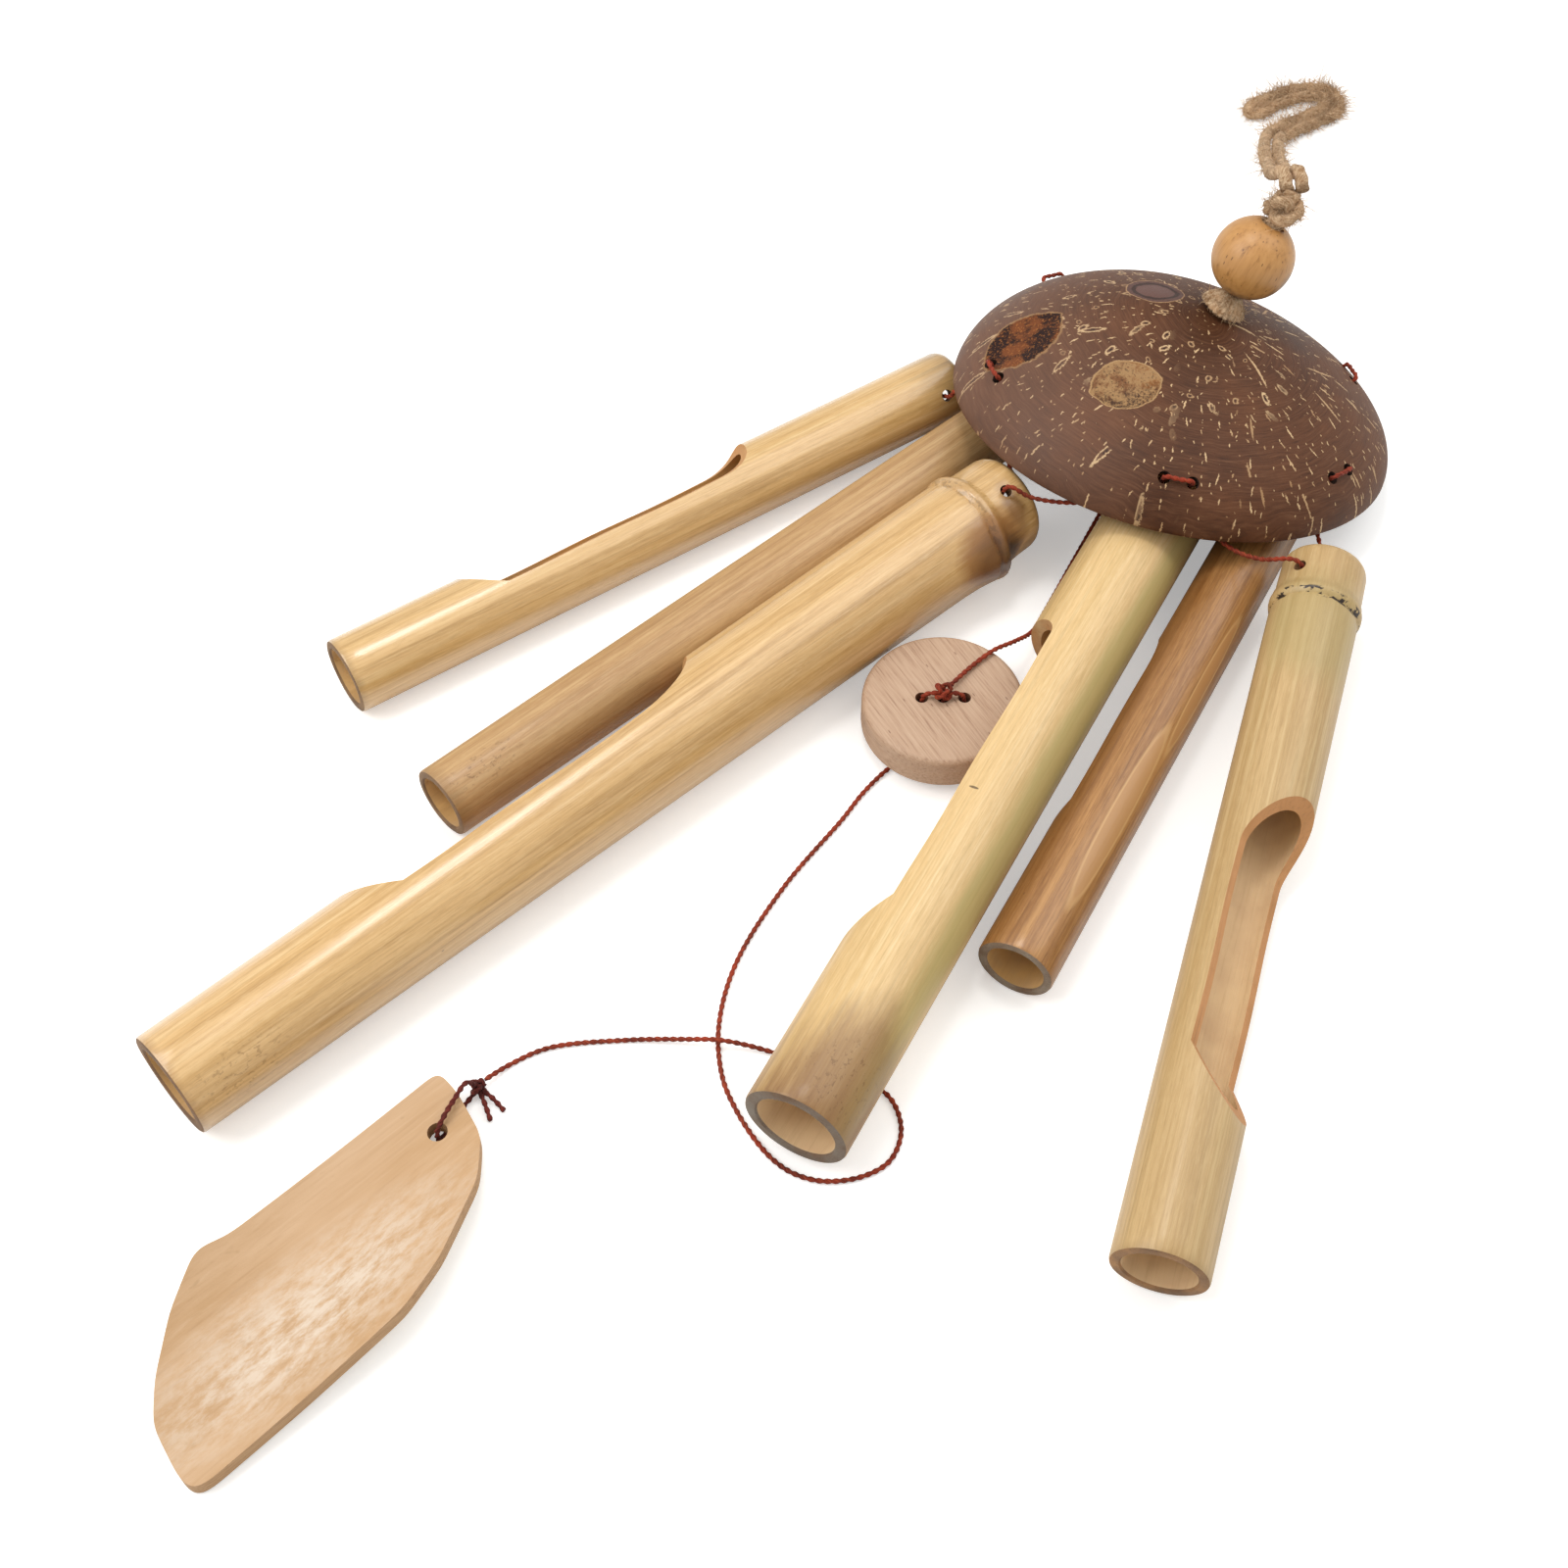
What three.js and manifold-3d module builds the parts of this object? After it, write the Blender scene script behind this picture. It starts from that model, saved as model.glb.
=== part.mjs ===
// Bamboo wind chime laid out on a floor: coconut shell dome, six bamboo tubes on one red cord,
// striker disc, sail, jute rope with a bead. Millimetres, +Z up, the viewer stands at -Y.
import * as THREE from "three";
import { mergeVertices } from "three/addons/utils/BufferGeometryUtils.js";
import Module from "manifold-3d";

const wasm = await Module();
wasm.setup();
const V = (x, y, z) => new THREE.Vector3(x, y, z);
const RAD = Math.PI / 180;
const UP = V(0, 0, 1);

// Cord and rope
const CORD_D = 1.3;
const GAP = 0.35;
const ROPE_D = 3.6;
const HOLE_D = 3.2;

// Coconut dome: rim centre, direction its top points in, rim radius, height, wall and shape power
const DOME_AT = V(103, 110, 14.8);
const DOME_AXIS = V(0.1625, 0.2056, 0.965).normalize();
const DOME_R = 57.5;
const DOME_H = 31.5;
const DOME_WALL = 3.8;
const DOME_POWER = 1.43;
const DOME_LEAN = [-8, 5];
const DOME_OVAL = 0.03;
const RIM_ROUND = 0.8;
const DOME_ROWS = 8;
const DOME_SIDES = 36;

// Stitches: place round the rim in degrees and height above it; the pair's spacing and its hole size
const STITCHES = [
  { azimuth: 191.7, height: 12.8 },
  { azimuth: 261, height: 12 },
  { azimuth: 313.5, height: 11.5 },
  { azimuth: 10, height: 14.5 },
  { azimuth: 70, height: 12 },
  { azimuth: 124, height: 13.5 },
];
const STITCH_SPACING = 7;
const STITCH_HOLE_D = 2.8;
const STITCH_END = 1.2;
const STITCH_RISE = 1.15;

// Tube lengths on plan
const TUBE_1_LENGTH = 184.6;
const TUBE_2_LENGTH = 207;
const TUBE_3_LENGTH = 253.8;
const TUBE_4_LENGTH = 222;
const TUBE_5_LENGTH = 165;
const TUBE_6_LENGTH = 193.4;

// Tubes: place of the top end on plan, direction from the low end to the top in degrees, length, outside
// radius at each end, wall, lifts off the floor, sound cut-out (direction from straight up to the right,
// depth kept beyond the axis, reach along the tube, its slanted low end and arched top end, how soon the
// arch turns), cross hole for the cord (distance from the top end, direction), and the radius above the
// node where a node ring shows
const TUBES = [
  {
    top: [45.3, 127.8], heading: 33.7, length: TUBE_1_LENGTH,
    lowR: 9.8, topR: 9.8, wall: 2.3, lowLift: 0, topLift: 0,
    cut: { turn: -47, keep: 4.4, from: 36, to: 121, ramp: 10, arch: 11 }, hole: { back: 7, turn: 55 },
  },
  {
    top: [73, 125.8], heading: 41.81, length: TUBE_2_LENGTH,
    lowR: 9.1, topR: 9, wall: 2.2, lowLift: 0, topLift: 0,
    hole: { back: 8, turn: -60 },
  },
  {
    top: [57.7, 79.5], heading: 41.6, length: TUBE_3_LENGTH,
    lowR: 12.9, topR: 14.5, wall: 3.4, lowLift: 0, topLift: 0,
    cut: { turn: -78, keep: 4, from: 52, to: 156, ramp: 13, arch: 26 }, hole: { back: 6.5, turn: 22 },
    collarR: 13.2,
  },
  {
    top: [107.2, 95.9], heading: 61.81, length: TUBE_4_LENGTH,
    lowR: 12.6, topR: 12.6, wall: 3, lowLift: 2, topLift: 0,
    cut: { turn: -102, keep: 2.7, from: 42, to: 148, ramp: 14, arch: 7 }, hole: { back: 8, turn: 60 },
  },
  {
    top: [130.9, 86.8], heading: 61.31, length: TUBE_5_LENGTH,
    lowR: 9.4, topR: 9.1, wall: 2.3, lowLift: 0, topLift: 0,
    cut: { turn: -112, keep: 4.6, from: 36, to: 104, ramp: 9, arch: 15 }, hole: { back: 8, turn: 55 },
  },
  {
    top: [135.8, 53.5], heading: 72.2, length: TUBE_6_LENGTH,
    lowR: 10.9, topR: 11, wall: 2.6, lowLift: 0, topLift: 6.4,
    cut: { turn: 56, keep: 1.2, from: 35, to: 119, ramp: 14, arch: 17, lip: 0.65 },
    hole: { back: 8, turn: -38 },
    collarR: 10.6,
  },
];
const CUT_LIP = 0.2;
const NODE_BACK = 15;
const NODE_RISE = 0.6;
const NODE_HALF = 2.2;
const DIAPHRAGM = 3;
const END_ROUND = 1.2;
const TUBE_SIDES = 24;

// Cord legs of each tube: the stitch whose cord goes in at the tube's open top, the stitch whose cord
// comes out of its side hole, and the bends on the way to each
const LEGS = [
  {
    top: [5, 1], toTop: [V(63, 142.5, 14), V(57, 143, 9.5), V(51.5, 134, 9.6)],
    side: [0, 0], toSide: [V(45.5, 114.8, 19.4), V(47.8, 111.5, 20.6), V(52, 108.5, 25)],
  },
  {
    top: [4, 1], toTop: [V(108, 148, 9.5), V(93, 139, 9.5), V(80, 131.5, 9.2)],
    side: [5, 0], toSide: [V(62.6, 130, 17), V(70.5, 136.2, 20.5)],
  },
  {
    top: [0, 1], toTop: [V(54.5, 96, 26.5), V(58.5, 87.5, 19.5), V(60.2, 82.5, 15.8)],
    side: [1, 0], toSide: [V(62, 69.5, 27), V(72, 68.3, 26.2), V(82, 68.3, 27.6)],
  },
  {
    top: [4, 0], toTop: [V(121, 140, 9), V(115, 118, 10), V(110.4, 102.5, 12)],
    side: [3, 1], toSide: [V(120.5, 92.5, 21), V(132, 104.5, 18), V(142.5, 114.5, 16)],
  },
  {
    top: [3, 0], toTop: [V(143, 105.5, 13), V(136.5, 97, 10)],
    side: [2, 1], toSide: [V(138, 77.5, 18)],
  },
  {
    top: [2, 0], toTop: [V(135.6, 71.6, 17.6), V(136.4, 63.5, 15.6), V(135.8, 58, 17)],
    side: [1, 1], toSide: [V(118, 51.5, 24), V(112, 56, 22.6), V(106, 61.2, 25)],
  },
];

// Striker disc
const DISC_AT = V(38.7, 16.9, 2.5);
const DISC_R = 19.8;
const DISC_T = 10;
const DISC_BEVEL = 1.6;
const DISC_HOLE_STEP = 5.2;
const DISC_KNOT_D = 5.6;
const DISC_KNOT_H = 4.2;

// Rope line: place of the dome's rope hole from its top, direction of the straight rope through the bead
const ROPE_HOLE_OFFSET = [12.6, 1.2];
const ROPE_AXIS = V(0.4, 0.25, 0.88).normalize();
const STEM_D = 5;
const STEM_HOLE_D = 6.4;
const COLLAR_R = 6;
const BEAD_R = 10.6;
const KNOT_R = 5.4;
const INNER_KNOT_R = 3.8;

const COLLAR_H = 6.6;
const STEM_REACH = 1.5;
const KNOT_H = 7.2;
const KNOT_SINK = 1.4;
const KNOT_CLEAR = 2;
const ROPE_TURN = V(0.5, 1.5, 3.2);

// Way of the doubled hanging loop from its knot, over the dome's back, to the fold on the floor
const ROPE_WAY = [
  V(127, 143, 68.5), V(131, 161.4, 55.5), V(136.3, 186.4, 38), V(141.9, 210.6, 22), V(147, 231, 10.5),
  V(151.6, 242.6, 3.6), V(160.6, 250, 1.9), V(168.2, 254.6, 1.9), V(172.2, 260, 1.9), V(167, 265.4, 1.9),
  V(155.4, 261.8, 1.9), V(146.2, 256, 1.9),
];

// Way of the cord from the striker's knot: plan places on the disc, then bends on the floor and in the dome
const STRIKER_ON_DISC = [[46, 25.8], [51.6, 30.8]];
const STRIKER_WAY = [
  V(57.5, 35.8, 11), V(62.5, 42.5, 6.5), V(67, 53, 2.2), V(78, 75, 2), V(90, 97, 5), V(100, 109, 15),
];

// Way of the sail's cord on the floor from under the disc, over itself, to the sail's knot
const SAIL_WAY = [
  [35, 12], [29, 7], [24.4, 3], [19, -3.4], [14.1, -10.8], [0, -30.2], [-11.2, -51.6], [-14.7, -68],
  [-13.6, -80.5], [-10.8, -87.8], [-6.4, -95.4], [-2.1, -100.6], [2.1, -103.6], [8.4, -105.4],
  [16.9, -104.3], [23, -100.5], [25.6, -93], [23, -85], [14, -79.6], [-1, -74.6],
];
const CROSSING = [V(-8.5, -72.8, 1.7), V(-14.8, -72, 2.6), V(-21, -71.4, 1.8)];
const TO_SAIL = [[-35.1, -71], [-52.6, -73], [-61, -77.2]];

// Sail: slat sawn from the wall of a large culm, lying along a heading in degrees; its cord end, its middle
// line, and its outline as shares of the length and the width
const SAIL_LENGTH = 99;
const SAIL_WIDTH = 44.8;
const SAIL_T = 4.2;
const SAIL_CULM_R = 52;
const SAIL_HEADING = 60;
const SAIL_END = -108.8;
const SAIL_MIDDLE = -20;
const SAIL_SHARES = [
  [1, 0.4], [0.976, 0.552], [0.914, 0.785], [0.82, 0.915], [0.626, 1], [0.503, 0.997], [0.25, 0.831],
  [0.021, 0.671], [0, 0.634], [0.01, 0.539], [0.063, 0.309], [0.138, 0.193], [0.261, 0.072], [0.386, 0],
  [0.41, 0.02], [0.45, 0.07],
];
const SAIL_LIFT = 2.4;
const SAIL_HOLE = [-74.6, -96.6];
const SAIL_HOLE_D = 4.5;

// Knot at the sail: its place, the ring of cord over and under the slat's end, the bend and tip of each tail
const SAIL_KNOT_R = 2.1;
const SAIL_KNOT_AT = [-67.4, -83.6];
const RING_OVER = [[-71.3, -89.4], [-73.4, -94]];
const RING_UNDER = [[-73.4, -93.6], [-71, -88.6], [-69.2, -85.8]];
const TAILS = [[[-64.6, -85.4], [-61.4, -88.6]], [[-65.8, -87], [-64.2, -91]]];

const meshes = [];
const part = new THREE.Group();
part.name = "bamboo_wind_chime";

function bodyOf(geometry) {
  const g = geometry.clone();
  g.deleteAttribute("normal");
  g.deleteAttribute("uv");
  const m = mergeVertices(g, 1e-4);
  const vertProperties = m.attributes.position.array;
  const triVerts = new Uint32Array(m.index.array);
  return new wasm.Manifold(new wasm.Mesh({ numProp: 3, vertProperties, triVerts }));
}

function geometryOf(body) {
  const m = body.getMesh();
  const g = new THREE.BufferGeometry();
  g.setAttribute("position", new THREE.BufferAttribute(new Float32Array(m.vertProperties), 3));
  g.setIndex(new THREE.BufferAttribute(new Uint32Array(m.triVerts), 1));
  g.computeVertexNormals();
  return g;
}

function add(name, geometry, look) {
  const material = new THREE.MeshStandardMaterial(look);
  const mesh = new THREE.Mesh(geometry, material);
  mesh.name = name;
  meshes.push(mesh);
  part.add(mesh);
}

const RED = { color: 0x8e2f1f, roughness: 0.8, metalness: 0 };
const JUTE = { color: 0xb99b78, roughness: 0.95, metalness: 0 };
const BAMBOO = [0xc8a066, 0xb8946a, 0xc8a066, 0xc9b083, 0x96693b, 0xcbb183];

// A cord of diameter d along a smooth line through the points
function cord(points, d, steps, sides = 6) {
  const circle = new THREE.Shape();
  circle.setFromPoints(
    Array.from({ length: sides }, (_, i) => {
      const a = (2 * Math.PI * i) / sides;
      return new THREE.Vector2(Math.cos(a) * d / 2, Math.sin(a) * d / 2);
    }),
  );
  const path = new THREE.CatmullRomCurve3(points, false, "centripetal");
  return new THREE.ExtrudeGeometry(circle, { steps, extrudePath: path, bevelEnabled: false });
}

// A round drill of diameter d from point a to point b
function drill(a, b, d, sides = 14) {
  const way = b.clone().sub(a);
  const g = new THREE.CylinderGeometry(d / 2, d / 2, way.length(), sides);
  g.applyQuaternion(new THREE.Quaternion().setFromUnitVectors(V(0, 1, 0), way.clone().normalize()));
  g.translate((a.x + b.x) / 2, (a.y + b.y) / 2, (a.z + b.z) / 2);
  return bodyOf(g);
}

// A solid of revolution about the line from a point along a direction; profile is [radius, height] pairs
function turned(profile, at, along, sides) {
  const g = new THREE.LatheGeometry(profile.map((p) => new THREE.Vector2(p[0], p[1])), sides);
  g.applyQuaternion(new THREE.Quaternion().setFromUnitVectors(V(0, 1, 0), along));
  g.translate(at.x, at.y, at.z);
  return g;
}

// A knot drawn as a flattened ball of radius r and height h standing on the point at
function ball(at, along, r, h, sides = 14) {
  const profile = [[0, 0]];
  for (const t of [-60, -30, 0, 30, 60]) {
    profile.push([r * Math.cos(t * RAD), (h / 2) * (1 + Math.sin(t * RAD))]);
  }
  profile.push([0, h]);
  return turned(profile, at, along, sides);
}

// Dome frame: across and back lie in the rim plane
const across = V(0, 1, 0).cross(DOME_AXIS).normalize();
const back = DOME_AXIS.clone().cross(across);
const domeFrame = new THREE.Matrix4().makeBasis(across, back, DOME_AXIS).setPosition(DOME_AT);

// Outside radius of the dome at a height above the rim
function domeRadius(height) {
  return DOME_R * Math.pow(Math.cos(Math.asin(Math.min(1, height / DOME_H))), DOME_POWER);
}

// The shell is drawn round and then leaned and made slightly oval
function settle(p) {
  const k = (p.z / DOME_H) ** 2;
  return V(p.x * (1 + DOME_OVAL) + DOME_LEAN[0] * k, p.y * (1 - DOME_OVAL) + DOME_LEAN[1] * k, p.z);
}

// Outside point of the shell and its outward direction, both in the part's frame
function onDome(azimuth, height) {
  const at = (a, h) => settle(V(domeRadius(h) * Math.cos(a), domeRadius(h) * Math.sin(a), h));
  const a = azimuth * RAD;
  const side = at(a + 0.01, height).sub(at(a - 0.01, height));
  const rise = at(a, height + 0.1).sub(at(a, height - 0.1));
  const out = side.clone().cross(rise).normalize();
  return {
    point: at(a, height).applyMatrix4(domeFrame),
    out: out.transformDirection(domeFrame),
    side: side.normalize().transformDirection(domeFrame),
  };
}

// Dome shell: outside profile from rim to top, inside profile one wall further in
const outside = [];
for (let i = 0; i <= DOME_ROWS; i++) {
  const t = (i / DOME_ROWS) * 90 * RAD;
  outside.push([DOME_R * Math.pow(Math.max(0, Math.cos(t)), DOME_POWER), DOME_H * Math.sin(t)]);
}
const shell = [[DOME_R - DOME_WALL + RIM_ROUND, 0], [DOME_R - RIM_ROUND, 0], [DOME_R, RIM_ROUND]];
for (const [r, h] of outside.slice(1)) {
  shell.push([Math.max(0, r), h]);
}
for (const [r, h] of outside.slice(1).reverse()) {
  const k = (h / DOME_H) ** 3;
  const inR = r - DOME_WALL * (1 - k);
  shell.push([Math.max(0, inR), h - DOME_WALL * (0.25 + 0.75 * k) * (h / DOME_H)]);
}
shell.push([DOME_R - DOME_WALL, RIM_ROUND]);
shell.push(shell[0]);
const lathe = new THREE.LatheGeometry(shell.map((p) => new THREE.Vector2(p[0], p[1])), DOME_SIDES);
lathe.rotateX(90 * RAD);
const spots = lathe.attributes.position;
for (let i = 0; i < spots.count; i++) {
  const p = settle(V(spots.getX(i), spots.getY(i), spots.getZ(i)));
  spots.setXYZ(i, p.x, p.y, p.z);
}
lathe.applyMatrix4(domeFrame);
let dome = bodyOf(lathe);

// Rope hole near the top
const ropeHoleShare = Math.hypot(...ROPE_HOLE_OFFSET) / DOME_R;
const ropeHoleH = DOME_H * Math.sqrt(1 - Math.pow(ropeHoleShare, 2 / DOME_POWER));
const ropeHole = settle(V(...ROPE_HOLE_OFFSET, ropeHoleH)).applyMatrix4(domeFrame);
const alongRope = (t) => ropeHole.clone().addScaledVector(ROPE_AXIS, t);
dome = dome.subtract(drill(alongRope(-12), alongRope(8), STEM_HOLE_D, 16));

// Stitches: a staple of cord through each pair of holes
const stitchEnds = [];
STITCHES.forEach((s, i) => {
  const half = STITCH_SPACING / 2 / domeRadius(s.height) / RAD;
  const pair = [onDome(s.azimuth - half, s.height), onDome(s.azimuth + half, s.height)];
  const deep = DOME_WALL + STITCH_END;
  const into = (q, t) => q.point.clone().addScaledVector(q.out, -t);
  for (const q of pair) {
    dome = dome.subtract(drill(into(q, deep + 2), into(q, -2), STITCH_HOLE_D, 10));
  }
  const mid = onDome(s.azimuth, s.height);
  const [p, q] = pair;
  const run = [
    into(p, deep),
    into(p, DOME_WALL / 2),
    into(p, -0.5),
    into(p, -STITCH_RISE).addScaledVector(mid.side, 0.6),
    into(mid, -STITCH_RISE),
    into(q, -STITCH_RISE).addScaledVector(mid.side, -0.6),
    into(q, -0.5),
    into(q, DOME_WALL / 2),
    into(q, deep),
  ];
  add("stitch_" + (i + 1), cord(run, CORD_D, 14), RED);
  stitchEnds.push(pair.map((h) => ({ tip: into(h, deep + GAP), next: into(h, deep + GAP + 2) })));
});
add("coconut_dome", geometryOf(dome), { color: 0x5f4438, roughness: 0.7, metalness: 0 });

// Tubes: turned about their own axis, then scooped and drilled, then laid down
const tubeFrames = TUBES.map((t) => {
  const ring = t.collarR ? NODE_RISE : 0;
  const lowX = t.top[0] - t.length * Math.cos(t.heading * RAD);
  const lowY = t.top[1] - t.length * Math.sin(t.heading * RAD);
  const low = V(lowX, lowY, t.lowR + t.lowLift);
  const top = V(t.top[0], t.top[1], t.topR + ring + t.topLift);
  const along = top.clone().sub(low);
  const length = along.length();
  along.normalize();
  const right = along.clone().cross(UP).normalize();
  const up = right.clone().cross(along);
  const matrix = new THREE.Matrix4().makeBasis(up, right, along).setPosition(low);
  return { length, matrix };
});

function tubeProfile(t, length) {
  const r = (s) => t.lowR + ((t.topR - t.lowR) * s) / length;
  const node = length - NODE_BACK;
  const bore = (s) => r(s) - t.wall;
  const endR = t.collarR ?? t.topR;
  const profile = [
    [0, node - DIAPHRAGM / 2],
    [bore(node) - 1.5, node - DIAPHRAGM / 2],
    [bore(node), node - DIAPHRAGM / 2 - 1.5],
    [bore(0), 0],
    [r(0) - END_ROUND / 2, 0],
    [r(0), END_ROUND / 2],
    [r(length / 2), length / 2],
  ];
  if (t.collarR) {
    profile.push([r(node), node - NODE_HALF - 0.6]);
    profile.push([r(node) - 0.35, node - NODE_HALF + 0.4]);
    profile.push([r(node) + NODE_RISE, node - 0.6]);
    profile.push([r(node) + NODE_RISE, node + 0.6]);
    profile.push([endR + 0.3, node + NODE_HALF + 0.8]);
  }
  profile.push([endR, length - 2 * END_ROUND]);
  profile.push([endR - END_ROUND * 0.4, length - END_ROUND * 0.7]);
  profile.push([endR - END_ROUND * 1.4, length]);
  profile.push([endR - t.wall, length]);
  profile.push([endR - t.wall, node + DIAPHRAGM / 2]);
  profile.push([0, node + DIAPHRAGM / 2]);
  return profile;
}

// The scoop's side view: a slanted low end, a straight run and a curved steep top end
function scoop(t) {
  const c = t.cut;
  const out = t.topR + t.lowR;
  const side = new THREE.Shape();
  side.moveTo(out, c.from - (c.ramp * (out - t.lowR)) / (t.lowR - c.keep));
  side.lineTo(c.keep, c.from + c.ramp);
  side.lineTo(c.keep, c.to - c.arch);
  side.quadraticCurveTo(c.keep, c.to - c.arch * (c.lip ?? CUT_LIP), t.topR, c.to);
  side.lineTo(out, c.to);
  side.closePath();
  const g = new THREE.ExtrudeGeometry(side, { depth: 2 * out, bevelEnabled: false, curveSegments: 6 });
  g.translate(0, 0, -out);
  g.applyMatrix4(new THREE.Matrix4().makeBasis(V(1, 0, 0), V(0, 0, 1), V(0, -1, 0)));
  g.rotateZ(c.turn * RAD);
  return bodyOf(g);
}

TUBES.forEach((t, i) => {
  const { length, matrix } = tubeFrames[i];
  const g = new THREE.LatheGeometry(
    tubeProfile(t, length).map((p) => new THREE.Vector2(p[0], p[1])),
    TUBE_SIDES,
  );
  g.rotateX(90 * RAD);
  let tube = bodyOf(g);
  const h = length - t.hole.back;
  const far = t.topR + 3;
  const aim = V(Math.cos(t.hole.turn * RAD), Math.sin(t.hole.turn * RAD), 0).multiplyScalar(far);
  tube = tube.subtract(drill(V(0, 0, h), V(aim.x, aim.y, h), HOLE_D));
  if (t.cut) {
    tube = tube.subtract(scoop(t));
  }
  const laid = geometryOf(tube);
  laid.applyMatrix4(matrix);
  add("bamboo_tube_" + (i + 1), laid, { color: BAMBOO[i], roughness: 0.45, metalness: 0 });
});

// Suspension cords: stitch, bends, into the tube's open top, out of its side hole, bends, next stitch
LEGS.forEach((leg, i) => {
  const t = TUBES[i];
  const { length, matrix } = tubeFrames[i];
  const endR = t.collarR ?? t.topR;
  const inTube = (share, fromTop) => {
    const a = t.hole.turn * RAD;
    const r = endR * share;
    return V(r * Math.cos(a), r * Math.sin(a), length - fromTop).applyMatrix4(matrix);
  };
  const first = stitchEnds[leg.top[0]][leg.top[1]];
  const last = stitchEnds[leg.side[0]][leg.side[1]];
  const run = [
    first.tip, first.next, ...leg.toTop,
    inTube(-0.2, -2.5), inTube(-0.2, t.hole.back * 0.45), inTube(0.12, t.hole.back * 0.9),
    inTube(0.55, t.hole.back), inTube(1.18, t.hole.back),
    ...leg.toSide, last.next, last.tip,
  ];
  add("tube_cord_" + (i + 1), cord(run, CORD_D, 30), RED);
});

// Rope through the dome: knot inside, stem and collar, bead, knot above the bead
const stemLow = DOME_WALL + STEM_REACH;
const boreR = STEM_HOLE_D / 2;
const beadAt = COLLAR_H - 0.15 + Math.sqrt(BEAD_R ** 2 - boreR ** 2);
const knotAt = beadAt + BEAD_R * 0.9;
const collar = bodyOf(
  turned(
    [[0, 1], [COLLAR_R, 1.2], [COLLAR_R * 0.9, 3], [COLLAR_R * 0.6, COLLAR_H - 0.6], [0, COLLAR_H]],
    alongRope(0), ROPE_AXIS, 16,
  ),
);
const stem = drill(alongRope(-stemLow), alongRope(2), STEM_D, 12);
const lifted = dome.translate(ROPE_AXIS.clone().multiplyScalar(GAP).toArray());
add("rope_collar", geometryOf(collar.add(stem).subtract(dome).subtract(lifted)), JUTE);
const knotDown = ROPE_AXIS.clone().negate();
add("inner_knot", ball(alongRope(-stemLow - GAP), knotDown, INNER_KNOT_R, 2 * INNER_KNOT_R), JUTE);

const beadProfile = [];
const boreAngle = Math.acos(boreR / BEAD_R) / RAD;
for (let i = 0; i <= 12; i++) {
  const a = (-boreAngle + (2 * boreAngle * i) / 12) * RAD;
  beadProfile.push([BEAD_R * Math.cos(a), BEAD_R * Math.sin(a)]);
}
beadProfile.push(beadProfile[0]);
const beadLook = { color: 0xc9975a, roughness: 0.4, metalness: 0 };
add("wood_bead", turned(beadProfile, alongRope(beadAt), ROPE_AXIS, 24), beadLook);

const beadStem = drill(alongRope(COLLAR_H + GAP), alongRope(knotAt + 3), STEM_D, 12);
const topKnot = bodyOf(ball(alongRope(knotAt + KNOT_SINK), ROPE_AXIS, KNOT_R, KNOT_H));
add("rope_knot", geometryOf(topKnot.add(beadStem)), JUTE);

// Hanging loop: two strands side by side over the dome's back, folded on the floor
const knotTop = alongRope(knotAt + KNOT_SINK + KNOT_H + KNOT_CLEAR);
const knotNext = knotTop.clone().add(ROPE_TURN);
const rope = new THREE.CatmullRomCurve3([knotTop, knotNext, ...ROPE_WAY], false, "centripetal");
const strand = (side) => {
  const shift = (ROPE_D + GAP) / 2;
  return Array.from({ length: 24 }, (_, i) => {
    const t = i / 23;
    const way = rope.getTangentAt(t);
    const out = way.clone().cross(UP).normalize();
    return rope.getPointAt(t).addScaledVector(out, side * shift);
  });
};
const loopEnd = rope.getPointAt(1).addScaledVector(rope.getTangentAt(1), ROPE_D / 2 + GAP);
add("rope_loop", cord([...strand(1), loopEnd, ...strand(-1).reverse()], ROPE_D, 52, 8), JUTE);

// Striker disc with three holes in a row, its knot, the cord to the dome and the cord to the sail
const b = DISC_BEVEL;
let disc = bodyOf(
  turned(
    [[0, 0], [DISC_R - b, 0], [DISC_R - 0.3 * b, 0.3 * b], [DISC_R, b], [DISC_R, DISC_T - b],
      [DISC_R - 0.3 * b, DISC_T - 0.3 * b], [DISC_R - b, DISC_T], [0, DISC_T]],
    DISC_AT, UP, 36,
  ),
);
const onDisc = (x, z) => V(DISC_AT.x + x, DISC_AT.y, DISC_AT.z + z);
for (const k of [-1, 0, 1]) {
  disc = disc.subtract(drill(onDisc(k * DISC_HOLE_STEP, -1), onDisc(k * DISC_HOLE_STEP, DISC_T + 1), HOLE_D));
}
add("striker_disc", geometryOf(disc), { color: 0xc39f85, roughness: 0.6, metalness: 0 });
add("striker_knot", ball(onDisc(0, DISC_T + GAP), UP, DISC_KNOT_D / 2, DISC_KNOT_H, 12), RED);

const layZ = DISC_AT.z + DISC_T + GAP + CORD_D / 2;
const knotEdge = DISC_KNOT_D / 2 + GAP;
const onTop = STRIKER_ON_DISC.map((p) => V(p[0], p[1], layZ));
const knotSide = onDisc(knotEdge * 0.62, 0).setZ(layZ + 0.6).add(V(0, knotEdge * 0.86, 0));
const innerLow = alongRope(-stemLow - 2 * INNER_KNOT_R - 2.4 * GAP);
const innerNext = innerLow.clone().addScaledVector(ROPE_AXIS, -4);
add("striker_cord", cord([knotSide, ...onTop, ...STRIKER_WAY, innerNext, innerLow], CORD_D, 44), RED);

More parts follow.
